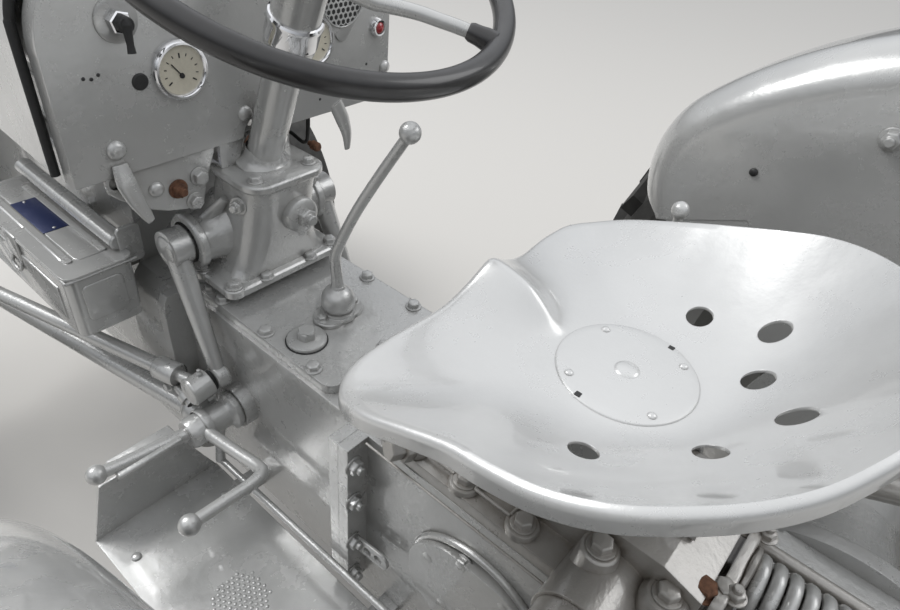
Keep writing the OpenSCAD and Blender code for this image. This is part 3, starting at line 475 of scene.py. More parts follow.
def scatter(name, shape, rows, mat, body="root"):
    # rows hold place, the way it points, and size across
    mesh = bpy.data.meshes.new(name + "Points")
    mesh.from_pydata([at(*r[0]) for r in rows], [], [])
    mesh.attributes.new("aim", "FLOAT_VECTOR", "POINT")
    mesh.attributes.new("size", "FLOAT", "POINT")
    for i, r in enumerate(rows):
        mesh.attributes["aim"].data[i].vector = Vector(r[1]).normalized()
        mesh.attributes["size"].data[i].value = r[2] / 1000
    obj = bpy.data.objects.new(name, mesh)
    bpy.context.scene.collection.objects.link(obj)
    group = bpy.data.node_groups.new(name + "Nodes", "GeometryNodeTree")
    group.interface.new_socket("Points", in_out="INPUT", socket_type="NodeSocketGeometry")
    group.interface.new_socket("Bolt", in_out="INPUT", socket_type="NodeSocketObject")
    seed = group.interface.new_socket("Seed", in_out="INPUT", socket_type="NodeSocketInt")
    seed.default_value = 7
    group.interface.new_socket("Bolts", in_out="OUTPUT", socket_type="NodeSocketGeometry")
    add = group.nodes.new
    gin, gout = add("NodeGroupInput"), add("NodeGroupOutput")
    info = add("GeometryNodeObjectInfo")
    aimNode, sizeNode = add("GeometryNodeInputNamedAttribute"), add("GeometryNodeInputNamedAttribute")
    aimNode.data_type = "FLOAT_VECTOR"
    aimNode.inputs["Name"].default_value = "aim"
    sizeNode.data_type = "FLOAT"
    sizeNode.inputs["Name"].default_value = "size"
    align, spin = add("FunctionNodeAlignRotationToVector"), add("FunctionNodeRotateRotation")
    rand = add("FunctionNodeRandomValue")
    align.axis = "Z"
    spin.rotation_space = "LOCAL"
    rand.data_type = "FLOAT"
    rand.inputs["Max"].default_value = 6.28
    euler = add("ShaderNodeCombineXYZ")
    toRotation = add("FunctionNodeEulerToRotation")
    inst, real = add("GeometryNodeInstanceOnPoints"), add("GeometryNodeRealizeInstances")
    setMat = add("GeometryNodeSetMaterial")
    setMat.inputs["Material"].default_value = mat
    wire = group.links.new
    wire(gin.outputs["Points"], inst.inputs["Points"])
    wire(gin.outputs["Bolt"], info.inputs["Object"])
    wire(info.outputs["Geometry"], inst.inputs["Instance"])
    wire(aimNode.outputs["Attribute"], align.inputs["Vector"])
    wire(gin.outputs["Seed"], rand.inputs["Seed"])
    wire(rand.outputs[1], euler.inputs["Z"])
    wire(euler.outputs[0], toRotation.inputs[0])
    wire(align.outputs[0], spin.inputs["Rotation"])
    wire(toRotation.outputs[0], spin.inputs["Rotate By"])
    wire(spin.outputs[0], inst.inputs["Rotation"])
    wire(sizeNode.outputs["Attribute"], inst.inputs["Scale"])
    wire(inst.outputs[0], real.inputs[0])
    wire(real.outputs[0], setMat.inputs["Geometry"])
    wire(setMat.outputs[0], gout.inputs["Bolts"])
    mod = obj.modifiers.new("place", "NODES")
    mod.node_group = group
    mod["Socket_1"] = boltShapes[shape]
    apply(obj, 30)
    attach(obj, body)
    return obj


# seat pan
seatSet = {"centre": (0, 276, 940), "plateR": 71, "columns": 180, "rows": 26, "thick": 3, "lip": 20, "roll": 8,
           "edge": [(0, 180, 2), (15, 188, 3), (25, 204, 4), (38, 244, 4), (45, 268, 4), (52, 278, 6), (60, 271, 20),
                    (70, 252, 40), (80, 240, 57), (90, 241, 70), (100, 246, 84), (110, 249, 100), (120, 246, 113),
                    (130, 242, 122), (140, 237, 129), (150, 232, 138), (160, 230, 145), (180, 230, 150)],
           "ridge": [(60, 0), (74, 1), (88, 9), (104, 22), (125, 35), (150, 41), (170, 42), (186, 38), (196, 36)],
           "holes": [(123, 257), (-129, 251), (62, 174), (-57, 172), (123, 185), (8, 131)], "holeR": 13.5}


def fromTable(rows, x, col=1):
    # smooth through the rows
    n = len(rows)
    if x <= rows[0][0]:
        return rows[0][col]
    for i in range(n - 1):
        if x <= rows[i + 1][0]:
            x0, x1 = rows[i][0], rows[i + 1][0]
            y0, y1 = rows[i][col], rows[i + 1][col]
            h = x1 - x0
            m0 = (y1 - rows[i - 1][col]) / (x1 - rows[i - 1][0]) if i > 0 else 0
            m1 = (rows[i + 2][col] - y0) / (rows[i + 2][0] - x0) if i < n - 2 else 0
            t = (x - x0) / h
            return ((2 * t ** 3 - 3 * t * t + 1) * y0 + (t ** 3 - 2 * t * t + t) * h * m0
                    + (-2 * t ** 3 + 3 * t * t) * y1 + (t ** 3 - t * t) * h * m1)
    return rows[-1][col]


def seatHeight(x, dy, t, rise):
    bowl = rise * t ** 1.75
    width = 14 + 0.34 * max(dy - 70, 0)
    crest = math.sqrt(x * x + 16) - 4
    return bowl + fromTable(seatSet["ridge"], dy) * math.exp(-(crest / width) ** 1.15)


def makeSeat():
    s = seatSet
    cx, cy, cz = s["centre"]
    bm = bmesh.new()
    loops = []
    steps = [("flat", k / 4) for k in range(5)] + [("bowl", k / s["rows"]) for k in range(1, s["rows"] + 1)]
    steps += [("roll", a) for a in (25, 50, 75, 90)] + [("drop", d) for d in (0.5, 1)]
    for kind, f in steps:
        row = []
        if kind == "flat" and f == 0:
            loops.append([bm.verts.new(at(cx, cy, cz))])
            continue
        for k in range(s["columns"]):
            a = 360 * k / s["columns"]
            folded = a if a <= 180 else 360 - a
            edgeR = fromTable(s["edge"], folded, 1) - s["roll"]
            rise = fromTable(s["edge"], folded, 2)
            ca, sa = cosd(a), sind(a)
            if kind == "flat":
                r, z = s["plateR"] * f, 0
            elif kind == "bowl":
                r = s["plateR"] + (edgeR - s["plateR"]) * f
                z = seatHeight(r * sa, r * ca, f, rise)
            else:
                top = seatHeight(edgeR * sa, edgeR * ca, 1, rise)
                turn = math.radians(f if kind == "roll" else 90)
                r = edgeR + s["roll"] * math.sin(turn)
                z = top - s["roll"] * (1 - math.cos(turn))
                if kind == "drop":
                    z -= (s["lip"] - s["roll"]) * f
            row.append(bm.verts.new(at(cx + r * sa, cy + r * ca, cz + z)))
        loops.append(row)
    joinLoops(bm, loops)
    mesh = bpy.data.meshes.new("seatPan")
    bm.to_mesh(mesh)
    bm.free()
    obj = piece("seatPan", mesh, seatPaint, smooth=50)
    thicken(obj, s["thick"], 50)
    cut(obj, [((x, y, cz + 40), up, s["holeR"]) for x, y in s["holes"]], depth=120, sides=40)
    obj.data.set_sharp_from_angle(angle=math.radians(45))
    return obj


seatPan = makeSeat()
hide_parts("seat")
seatY, plateZ = seatSet["centre"][1:]
lathe("seatPlate", [(0, 2.2), (60, 2.2), (66, 2.1), (69.5, 1.5), (70.5, 0.4), (70.5, 0)], seatSet["centre"], up,
      seatPaint, sides=72, smooth=20)
lathe("seatButton", [(0, 4.4), (9, 4.0), (12.2, 2.6), (12.8, 1.8), (12.8, 1)], seatSet["centre"], up, seatPaint)
scatter("seatRivets", "dome", [((x, y, plateZ + 2), up, 9) for y, x in arc(60, (40, 130, 220, 310), seatY)],
        seatPaint)
# black squares in the two slots at the plate's rim: painted shade inside the slots
for a in (-75, 105):
    y, x = arc(66, [a], seatY)[0]
    block("seatSlot" + str(a + 100), (x - 3.2, y - 3.2, plateZ + 1.2), (x + 3.2, y + 3.2, plateZ + 2.5), blackRubber,
          bevel=0.8)
print("stage: seat")

# steering wheel
wheelSet = {"centre": (0, 724, 1234), "lean": 22.5, "ringR": 216, "rim": (13.2, 12.5), "around": 144, "sides": 28,
            "spokes": (-63, 57, 177), "spokeR": [11, 10.5, 9.5, 9, 8.2, 7.8, 7.6, 7.6, 7.4],
            "spoke": [(24, -30), (50, -27), (75, -25), (84, -23.5), (105, -17), (127, -11), (149, -7), (171, -3),
                      (196, 0)]}
wheelAxis = Vector((0, -sind(wheelSet["lean"]), cosd(wheelSet["lean"])))
wheelX = Vector(right)
wheelY = wheelAxis.cross(wheelX)
wheelC = Vector(wheelSet["centre"])


def onWheel(r, angle, h):
    return wheelC + wheelX * (r * cosd(angle)) + wheelY * (r * sind(angle)) + wheelAxis * h


def makeRim():
    w = wheelSet
    rimHigh, rimWide = w["rim"]
    turns = [2 * math.pi * k / w["sides"] for k in range(w["sides"])]
    bm = bmesh.new()
    loops = []
    for i in range(w["around"]):
        angle = 360 * i / w["around"]
        loops.append([bm.verts.new(at(*onWheel(w["ringR"] + rimWide * math.cos(t), angle, rimHigh * math.sin(t))))
                      for t in turns])
    joinLoops(bm, loops + loops[:1])
    # short sleeves where the spokes enter the rim
    for angle in w["spokes"]:
        path = [onWheel(r, angle, h) for r, h in ((180, -1.5), (184, -1.2), (192, -0.6), (200, 0), (210, 0))]
        rings(bm, path, [8.6, 10.2, 10.6, 12, 12.5], 20)
    return piece("wheelRim", fromBmesh("wheelRim", bm), wheelBlack, "steering_wheel", smooth=50)


wheelRim = makeRim()
for angle in wheelSet["spokes"]:
    spoke = [onWheel(r, angle, h) for r, h in wheelSet["spoke"]]
    tube("wheelSpoke" + str(angle + 100), spoke, wheelSet["spokeR"], greyPaint, "steering_wheel", per=5)
lathe("wheelHub", [(0, -40), (24, -40), (28, -37), (30, -22), (29, 0), (26, 6), (23, 8), (20, 16), (13, 19), (0, 20)],
      wheelC, wheelAxis, greyPaint, "steering_wheel")
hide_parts("steering_wheel")
lathe("wheelNut", [(0, 18), (12, 18), (12, 26), (10, 29), (0, 30)], wheelC, wheelAxis, chrome, "steering_wheel",
      sides=6, smooth=20)
# collar on top of the column
lathe("columnCollar", [(26, -131), (29.3, -128), (30.2, -124), (30.2, -119), (30.8, -117.5), (30.8, -116)], wheelC,
      wheelAxis, greyPaint)
lathe("columnChrome", [(29.6, -116.5), (31.4, -116), (31.6, -114), (31.6, -94), (33.0, -91.5), (33.2, -88),
                       (31.5, -85.5), (27, -84.5), (23.5, -86), (22.2, -90), (0, -90)], wheelC, wheelAxis, chrome,
      sides=64)
lathe("columnNeck", [(22, -90), (20.5, -84), (19, -60), (19, -41)], wheelC, wheelAxis, greyPaint)
print("stage: steering wheel")

# dash
dashSet = {"y": 848, "gaugeX": (-98, 98), "gaugeZ": 1087, "switch": (-160, 1150), "sieve": (150, 1135),
           "pilot": (217, 1088)}
dialFace = plain("dialFace", (0.62, 0.58, 0.47), 0.35, bumpSize=300, bump=0.0, variation=0.05, coat=1.0)
dialInk = plain("dialInk", (0.02, 0.02, 0.02), 0.5)
redGlass = plain("redGlass", (0.30, 0.008, 0.012), 0.12, bump=0.0, coat=0.8)
dashY, gaugeZ = dashSet["y"], dashSet["gaugeZ"]


def mark(bm, x, z, angle, reach, y, half):
    # a thin bar on a dial, pointing along the angle; reach is how far its middle is from the centre
    u = Vector((cosd(angle), 0, sind(angle)))
    mid = Vector((x, y, z)) + u * reach
    turn = Matrix((u, Vector(ahead), u.cross(Vector(ahead)))).transposed()
    boxInto(bm, mid - Vector(half), mid + Vector(half), 0, 1, turn)


marks = bmesh.new()
for x in dashSet["gaugeX"]:
    side = "L" if x < 0 else "R"
    place = (x, dashY, gaugeZ)
    lathe("gaugeBezel" + side, [(34, -3), (34.5, 1), (34, 5), (32, 7.6), (29.4, 7.6), (27.8, 5.6), (27.2, 2.5)],
          place, back, chrome, sides=64)
    lathe("gaugeDial" + side, [(0, 3.0), (24, 3.0), (27.4, 3.2)], place, back, dialFace)
    lathe("gaugePin" + side, [(0, 5.6), (2.6, 5.2), (3.2, 3.0)], (x, dashY, gaugeZ - 6), back, dialInk, sides=20)
    for k in range(11):
        long = 3.2 if k % 5 else 5.5
        mark(marks, x, gaugeZ - 2, 215 - 25 * k, 21.5 - long / 2, dashY - 3.25,
             (long / 2, 0.2, 0.5 if k % 5 else 0.8))
    mark(marks, x, gaugeZ - 6, 128 if x < 0 else 200, 8, dashY - 4.3, (11, 0.25, 0.7))
toPlace(marks)
piece("gaugeMarks", fromBmesh("gaugeMarks", marks), dialInk)
# switch with a black lever
switchAt = (dashSet["switch"][0], dashY, dashSet["switch"][1])
lathe("switchBase", [(0, 3), (20.5, 3), (23, 2), (23.5, 0)], switchAt, back, greyPaint)
lathe("switchNut", [(0, 14), (11, 14), (12.5, 12.5), (13, 3), (13, 0)], switchAt, back, chrome, sides=6, smooth=20)
lathe("switchShaft", [(0, 24), (7.5, 23.5), (8.5, 22), (8.5, 10)], switchAt, back, blackRubber, sides=28)
tube("switchLever", [(-160, 828, 1157), (-160, 827, 1150), (-160.5, 825.5, 1141), (-161, 824, 1131),
                     (-161.5, 823, 1123)], [4.5, 6.5, 4.6, 3.8, 4.6], blackRubber, flat=(0.8, Vector(ahead)))
lathe("grommet", [(0, 2.5), (5, 2.8), (8, 2.4), (9.5, 0.6), (9.5, 0)], (-147, dashY, 1083), back, blackRubber,
      sides=28)
dashBolts = [(-190, 1014, 23), (235, 1027, 20), (-18, 1015, 21), (212, 1142, 12), (150, 1092, 9)]
scatter("dashBolts", "dome", [((x, dashY, z), back, size) for x, z, size in dashBolts], greyPaint)
# small holes and the marks beside the grommet, as black domes: painted shade inside the holes
dashHoles = [(-206, 1098), (-198, 1096), (-190, 1099), (108, 1005), (198, 1038)]
scatter("dashHoles", "dome", [((x, dashY + 0.3, z), back, 4.2) for x, z in dashHoles], blackRubber)
# round sieve plate with hexagon holes
sieveSet = {"r": 36, "rimR": 40, "tabR": 12, "tabDrop": 44, "pitch": 8.6, "hole": 3.4, "thick": 3, "meshY": 844.6,
            "meshDeep": 2}


def makeSieveMesh():
    m = sieveSet
    pitch = m["pitch"]
    bm = bmesh.new()

    def hexagon(x, z, r):
        return [bm.verts.new(at(x + r * sind(60 * k), m["meshY"], z + r * cosd(60 * k))) for k in range(6)]

    for i in range(-6, 7):
        for j in range(-6, 7):
            dx, dz = (i + 0.5 * (j % 2)) * pitch, j * pitch * 0.866
            if math.hypot(dx, dz) < m["r"] - 1:
                x, z = cx + dx, cz + dz
                outer, inner = hexagon(x, z, pitch * 0.577), hexagon(x, z, m["hole"])
                deep = [bm.verts.new(v.co + Vector((0, m["meshDeep"] / 1000, 0))) for v in inner]
                for k in range(6):
                    bm.faces.new((outer[k], outer[(k + 1) % 6], inner[(k + 1) % 6], inner[k]))
                    bm.faces.new((inner[k], inner[(k + 1) % 6], deep[(k + 1) % 6], deep[k]))
    piece("sieveMesh", fromBmesh("sieveMesh", bm), greyPaint, smooth=10)


cx, cz = dashSet["sieve"]
outline = arc(sieveSet["rimR"], range(-30, 211, 10), cx, cz)
outline += arc(sieveSet["tabR"], range(215, 326, 15), cx, cz - sieveSet["tabDrop"])
plate("sievePlate", outline, sieveSet["thick"], ((0, dashY, 0), right, up), greyPaint, bevel=1.2)
# a black disc behind the mesh: painted shade seen through the holes
lathe("sieveBack", [(0, 3.1), (sieveSet["r"], 3.1)], (cx, dashY, cz), back, blackRubber)
makeSieveMesh()
lathe("sieveRing", [(35, 3), (35.4, 5), (37, 5), (37.6, 3)], (cx, dashY, cz), back, greyPaint)
# red pilot lamp
pilotAt = (dashSet["pilot"][0], dashY, dashSet["pilot"][1])
lathe("pilotBezel", [(8.6, 8), (11, 8.4), (12.6, 5), (13.2, 0)], pilotAt, back, chrome, sides=32)
lathe("pilotLamp", [(0, 11), (4, 10.4), (7, 8.6), (8.8, 6)], pilotAt, back, redGlass, sides=28)
print("stage: dash")

# gearbox cover, steering box and column base
coverZ = nodeBox("gearbox_cover")[0].z + 14
boxTop = nodeBox("steering_box")[1].z
coverBolts = [((x, y, coverZ), up, 16) for x in (-96, 96) for y in (833, 734, 635)]
coverBolts += [((x, y, coverZ), up, size) for x, y, size in ((-94, 866, 15), (94, 866, 15), (0, 602, 14))]
scatter("coverBolts", "hex", coverBolts, castPaint)
lathe("plugFlange", [(0, 6.5), (24, 6.5), (27, 5.4), (27.5, 4), (27.5, 0)], (-66, 684, coverZ), up, castPaint)
lathe("plugHex", [(0, 19), (11, 19), (13, 17), (13, 6)], (-66, 684, coverZ), up, castPaint, sides=6, smooth=20)
lathe("plugGasket", [(29.3, 0), (29.3, 0.8), (27, 0.9)], (-66, 684, coverZ), up, blackRubber)
plate("leverFlange", roundedOutline(80, 46, 22, 8), 7, ((3, 697, coverZ), right, ahead), castPaint, bevel=2.5)
scatter("leverFlangeBolts", "hex", [((-27, 697, coverZ + 7), up, 12), ((33, 697, coverZ + 7), up, 12)], castPaint)
leverSet = {"foot": (3, 697, coverZ), "knob": 12.8, "radius": [11, 8.2, 7.6, 7.4, 7.2, 7, 6.6],
            "path": [(3, 697, 34), (2.5, 698, 62), (2, 700, 100), (4, 688, 134), (8, 664, 186), (14, 629, 250),
                     (20, 594, 310)]}
leverPath = [(x, y, coverZ + z) for x, y, z in leverSet["path"]]
tube("gearLever", leverPath, leverSet["radius"], castPaint)
ballProfile = [(25, 1), (26, 5), (24, 9), (22, 11)] + arc(24.5, range(-40, 71, 8), 0, 27) + [(9, 53), (0, 53.5)]
leverBall = lathe("gearBall", ballProfile, leverSet["foot"], up, castPaint)
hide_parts("gear_lever")
leverTop = Vector(leverPath[-1])
lathe("gearKnob", [(0, 13)] + arc(leverSet["knob"], range(85, -61, -8)) + [(6.6, -14), (6.4, -26)], leverTop,
      (leverTop - Vector(leverPath[-2])).normalized(), castPaint)
scatter("boxTopBolts", "hex", [((x, y, boxTop), up, 14) for x, y in ((-44, 801), (44, 801), (-46, 868), (46, 868))],
        castPaint)
lathe("columnFoot", [(38, 0), (38, 4), (31, 8), (27, 15), (24.3, 26)], (0, 842.5, boxTop - 2), (0, -0.2, 1),
      castPaint)
# adjuster on the rear face and studs on the sides
lathe("adjusterFlange", [(0, 24), (20, 24), (25, 21), (26.5, 16), (26.5, 0)], (14, 800, 880), (0, -1, 0.06),
      castPaint)
scatter("adjusterNut", "nut", [((14, 779, 881), (0, -1, 0.06), 24)], castPaint)
# body of the steering box, from the base flange up to the column's seat
# rows hold height, half width, rear, front and corner radius
boxSet = {"rows": [(778, 102, 797, 914, 26), (786, 101, 798, 914, 25), (789, 97, 801, 912, 24),
                   (791, 86, 808, 911, 24), (797, 78, 806, 911, 26), (810, 71, 803, 911, 30), (832, 65, 800, 912, 32),
                   (860, 61, 796, 912, 32), (890, 58, 792, 906, 32), (915, 57, 788, 899, 30), (930, 57, 784, 893, 28),
                   (933, 62, 779, 893, 28), (936, 63.5, 777, 893.5, 28), (943, 63.5, 777, 893.5, 28),
                   (945, 61.5, 779, 892, 27)]}
bm = bmesh.new()
loops = []
for z, half, y0, y1, r in boxSet["rows"]:
    ring = roundedOutline(2 * half, y1 - y0, r, 8)
    loops.append([bm.verts.new(at(x, (y0 + y1) / 2 + y, z)) for x, y in ring])
joinLoops(bm, loops)
bm.faces.new(loops[0])
bm.faces.new(loops[-1])
steeringBody = piece("steeringBody", fromBmesh("steeringBody", bm), castPaint, smooth=24)
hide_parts("steering_box")
lobe = [(15, 0), (15, 10), (13.5, 12), (0, 12)]
for s in (-1, 1):
    word = str(s + 1)
    lathe("shaftBoss" + word, [(58, 40), (50, 56), (42, 66), (38, 76), (36, 88), (36.5, 96), (40, 97.5), (40.5, 100),
                               (40.5, 107), (38, 109.5), (30, 110)], (0, 882, 840), (s, 0, 0), castPaint, sides=56)
    tube("boxRib" + word, [(s * 60, 850, 905), (s * 70, 868, 880), (s * 84, 880, 858)], [8, 12, 16], castPaint,
         flat=(0.6, Vector(ahead)))
    scatter("boxSideStud" + word, "nut", [((s * 59, 822, 905), (s, -0.35, 0.1), 17)], castPaint)
    lathe("boxLobes" + word, lobe, (s * 88, 812, 778), up, castPaint, sides=28)
    lathe("boxLobesFront" + word, lobe, (s * 92, 880, 778), up, castPaint, sides=28)
    scatter("boxBaseBolts" + word, "hex", [((s * 88, 812, 790), up, 16), ((s * 92, 880, 790), up, 16),
                                           ((s * 40, 803, 788), up, 15)], castPaint)
print("stage: gearbox top")

# drop arms and steering rods; x is taken to the left and the right
dropSet = {"pivot": (140, 882, 840), "eye": (137, 803, 655), "boot": (134, 803, 655), "ball": (165, 808, 650),
           "arm": [(127, 884, 842), (128, 872, 815), (131, 848, 760), (134.5, 820, 695), (137, 803, 655)],
           "armR": [21, 18.5, 15.5, 12.5, 10.5], "frontX": 378, "frontBack": 60, "frontZ": 597}


def mirrored(point, s):
    return (s * point[0], point[1], point[2])


for s, word in ((-1, "left"), (1, "right")):
    arm = "drop_arm_" + word
    linkBody = "drag_link_" + word
    d = dropSet
    lathe("dropHead" + word, [(0, 6), (12, 5.4), (19, 3), (22, -1), (23, -8), (23, -30), (20, -31)],
          mirrored(d["pivot"], s), (s, 0, 0), castPaint, arm, sides=40)
    tube("dropArm" + word, [mirrored(p, s) for p in d["arm"]], d["armR"], castPaint, arm, flat=(0.85, Vector(right)))
    lathe("dropEye" + word, [(0, -10.5), (14, -10.5), (17.5, -8), (18, 0), (17.5, 8), (14, 10.5), (0, 10.5)],
          mirrored(d["eye"], s), right, castPaint, arm)
    lathe("ballBoot" + word, [(8, 10), (14, 12), (17, 15), (15, 18), (18.5, 21), (20, 25), (17, 28), (12, 29)],
          mirrored(d["boot"], s), (s, 0.16, -0.16), blackRubber, arm)
    ball = Vector(mirrored(d["ball"], s))
    front = Vector((s * d["frontX"], frontAxleY - d["frontBack"], d["frontZ"]))
    toward = (front - ball).normalized()
    lathe("rodClamp" + word, [(16.6, 44), (18, 47), (18, 82), (16.6, 85)], ball, toward, castPaint, linkBody)
    block("rodClampEars" + word, ball + toward * 52 + Vector((-5, -6, -34)), ball + toward * 72 + Vector((5, 6, -12)),
          castPaint, linkBody)
    scatter("rodClampBolt" + word, "hex", [(tuple(ball + toward * 62 + Vector((-6, 0, -26))), (-1, 0, 0), 12)],
            castPaint, linkBody)
    lathe("rodNipple" + word, [(4, 20), (4, 26), (2.5, 28), (2.5, 32), (0, 33)], ball, up, castPaint, linkBody,
          sides=16)
    lathe("rodCap" + word, [(21, 18), (20, 21), (14, 23), (0, 24)], ball, (s, 0, 0), castPaint, linkBody)
    lathe("frontBoot" + word, [(14, -13), (18, -14), (19, -17), (15, -19)], front, up, blackRubber, linkBody)
    scatter("frontRodNut" + word, "nut", [(tuple(front + Vector((0, 0, -44))), (0, 0, -1), 18)], castPaint,
            "knuckle_" + word)
print("stage: steering rods")

# pedals and their rods
pedalSet = {"shaft": (0, 785, 597), "brakeShaft": (0, 318, 497), "ball": 14, "clutchBall": 13.5, "rod": 5.2,
            "clutch": [(-150, 785, 597), (-200, 785, 599), (-250, 787, 606), (-300, 789, 612), (-335, 791, 618)],
            "brake": [(190, 785, 600), (189, 760, 602), (187, 700, 613), (185, 655, 622), (190, 636, 627),
                      (212, 630, 629), (250, 630, 631), (296, 630, 634)],
            "link": [(156, 786, 592), (158, 790, 560), (160, 796, 520), (160, 801, 484)]}


def ballEnd(name, place, way, r):
    lathe(name, [(0, r)] + arc(r, range(80, -61, -10)), place, way, castPaint)


clutch = tube("clutchBar", pedalSet["clutch"], [13, 11, 9.5, 9, 8.5], castPaint)
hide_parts("pedals")
ballEnd("clutchBall", (-337, 791, 618), (-1, 0, 0.15), pedalSet["clutchBall"])
block("clutchPad", (-318, 772, 604), (-224, 810, 612), castPaint, bevel=3)
for s, word in ((-1, "Left"), (1, "Right")):
    p = pedalSet
    out = (s, 0, 0)
    tube("brakeBar" + word, [mirrored(q, s) for q in p["brake"]], [10, 9.4, 9, 9, 9, 8.8, 8.6, 8.4], castPaint, per=6)
    ballEnd("brakeBall" + word, (s * 300, 630, 634), (s, 0, 0.05), p["ball"])
    lathe("pedalHub" + word, [(0, 132.5), (29, 132.5), (31, 136), (31, 143), (24, 147), (22, 150), (22, 178),
                              (24, 180), (24, 206), (21, 212), (0, 214)], p["shaft"], out, castPaint)
    tube("pedalLink" + word, [mirrored(q, s) for q in p["link"]], [9, 7.5, 7, 8], castPaint)
    rod = [(s * 160, 801, 484), (s * 160, 560, 490), (s * 160, 318, 497)]
    tube("brakeRod" + word, rod, p["rod"], castPaint, straight=True, sides=14)
    lathe("brakeBoss" + word, [(0, 117), (13, 117), (13, 164), (9, 168), (0, 168)], p["brakeShaft"], out, castPaint)
    nuts = [(124, 858, 576, 17), (124, 858, 540, 14), (128, 804, 640, 13)]
    scatter("pedalNuts" + word, "nut", [((s * x, y, z), out, size) for x, y, z, size in nuts], castPaint)
    lathe("pedalCollar" + word, [(26, 178), (27.5, 182), (27.5, 188), (26, 190)], p["shaft"], out, castPaint)
    lathe("adjuster" + word, [(0, 30), (7, 30), (8, 28), (8, 6), (12, 6), (12, -6), (8, -6), (8, -14)],
          (s * 176, 838, 612), (0, 0.8, 0.3), castPaint, sides=24)
print("stage: pedals")

# toolbox
lidZ = nodeBox("toolbox_lid")[0].z + 6
plateBlue = paint("plateBlue", (0.012, 0.022, 0.085), dirtAndShadeAmount=0.1, rough=0.35, coat=0.2)
for k, (y0, y1) in enumerate(((1107, 1262), (986, 1044))):
    rib = [(-237, y0, lidZ - 2.6), (-237, y0 + 8, lidZ - 0.6), (-236, y1 - 8, lidZ - 0.6), (-235.5, y1, lidZ - 2.6)]
    tube("lidRib" + str(k), rib, [3.2, 4.4, 4.4, 3.2], greyPaint, "toolbox_lid", per=5, flat=(0.62, Vector(up)))
plate("lidPanel", [(u - 203, v + 1112) for u, v in roundedOutline(44, 276, 9)], 1.4,
      ((0, 0, lidZ - 0.2), right, ahead), greyPaint, "toolbox_lid", bevel=1.2)
plate("lidPlate", [(-226, 1066), (-190, 1066), (-190, 1174), (-226, 1174)], 0.7, ((0, 0, lidZ + 1.2), right, ahead),
      plateBlue, "toolbox_lid", bevel=0.2)
scatter("lidPlateRivets", "dome", [((-208, y, lidZ + 1.8), up, 5) for y in (1072, 1168)], greyPaint, "toolbox_lid")
for name, end in (("lidRim", (-257, 1272, lidZ - 5)), ("lidRimBack", (-157, 939, lidZ - 5))):
    tube(name, [(-257, 939, lidZ - 5), end], 2.0, greyPaint, "toolbox_lid", straight=True, sides=12)
plate("boxBackPanel", [(u - 211, v + 764) for u, v in roundedOutline(58, 60, 9)], 2.2, ((0, 940.3, 0), right, up),
      greyPaint, bevel=1.9)
block("boxSidePanel", (-258, 975, 726), (-254, 1232, 783), greyPaint, bevel=1.9, segments=4)
block("boxLatch", (-260, 1084, 770), (-255, 1124, 812), greyPaint, "toolbox_lid", bevel=2.2)
tube("boxLatchLoop", [(-258, 1090, 768), (-262, 1090, 756), (-262, 1104, 750), (-262, 1118, 756), (-258, 1118, 768)],
     2.6, greyPaint, sides=12)

# brackets under the dash
underSet = {"y": 853, "thick": 4,
            "outline": [(-60, 1004), (-66, 973), (-80, 943), (-90, 909), (-96, 905), (-118, 908), (-140, 914),
                        (-166, 926), (-197, 950), (-208, 962), (-212, 1004)],
            "bolts": [("Bolts", "hex", [(-92, 948, 17), (-103, 916, 16)], greyPaint),
                      ("Rivets", "dome", [(-151, 949, 20), (-186, 985, 16)], greyPaint),
                      ("Nut", "nut", [(-123, 940, 17)], rustBrown)]}
underY = underSet["y"]
plate("dashBracket", underSet["outline"], underSet["thick"], ((0, underY + underSet["thick"], 0), right, up),
      greyPaint, bevel=1.4)
for word, shape, rows, mat in underSet["bolts"]:
    scatter("dashBracket" + word, shape, [((x, underY, z), back, size) for x, z, size in rows], mat)
lathe("dashEarRing", [(8, 0), (12, 0), (12, 5), (8, 5)], (-199, underY, 975), back, greyPaint, sides=28)
tube("dashHook", [(-191, 845, 998), (-190, 840, 975), (-184, 836, 950), (-174, 833, 922)], [9, 12, 10, 5], greyPaint,
     flat=(0.4, Vector(ahead)))
tube("dashFin", [(138, 850, 992), (150, 848, 965), (157, 846, 940), (158, 846, 915)], [12, 12, 9, 5], greyPaint,
     flat=(0.4, Vector(ahead)))
lathe("dashKnob", [(0, 22), (5, 21), (7, 18), (7, 8), (4, 6), (4, 0)], (92, 856, 940), back, rustBrown, sides=20)
tube("tankRail", [(-166, 966, 824), (-167, 1040, 826), (-168, 1140, 829), (-168, 1250, 832)], 14, greyPaint,
     straight=True, flat=(0.8, Vector(up)))
lathe("tankRailEnd", [(0, 3.4), (11, 3), (13.6, 0)], (-166, 966, 824), back, greyPaint)
plate("tankRailFoot", roundedOutline(34, 60, 8), 5, ((-152, 966, 816), right, up), greyPaint)
# wires behind the dash
for k, (x, sag) in enumerate(((-178, 8), (-150, 16), (60, 12), (104, 10))):
    wire = [(x, 872, 1010), (x + 6, 880, 960 - sag), (x + 18, 905, 925 - sag), (x + 26, 960, 915),
            (x + 20, 1060, 920)]
    tube("dashWire" + str(k), wire, 3.2, blackRubber, sides=10)

# rubber strip between hood and dash
stripSet = {"half": 250, "skirt": 990, "top": 1240, "corner": 100, "wide": 5.5}
stripY, half, corner = nodeBox("hood")[0].y + 2, stripSet["half"], stripSet["corner"]
strip = [(-half, stripY, stripSet["skirt"])]
strip += [(-half + corner * (1 - cosd(a)), stripY, stripSet["top"] - corner * (1 - sind(a))) for a in range(0, 91, 9)]
strip += [(-x, y, z) for x, y, z in reversed(strip)]
tube("hoodStrip", [(x * 0.992, y, z - 1.5) for x, y, z in strip], stripSet["wide"], blackRubber, per=3, sides=12,
     flat=(0.7, Vector(ahead)))
print("stage: toolbox and brackets")

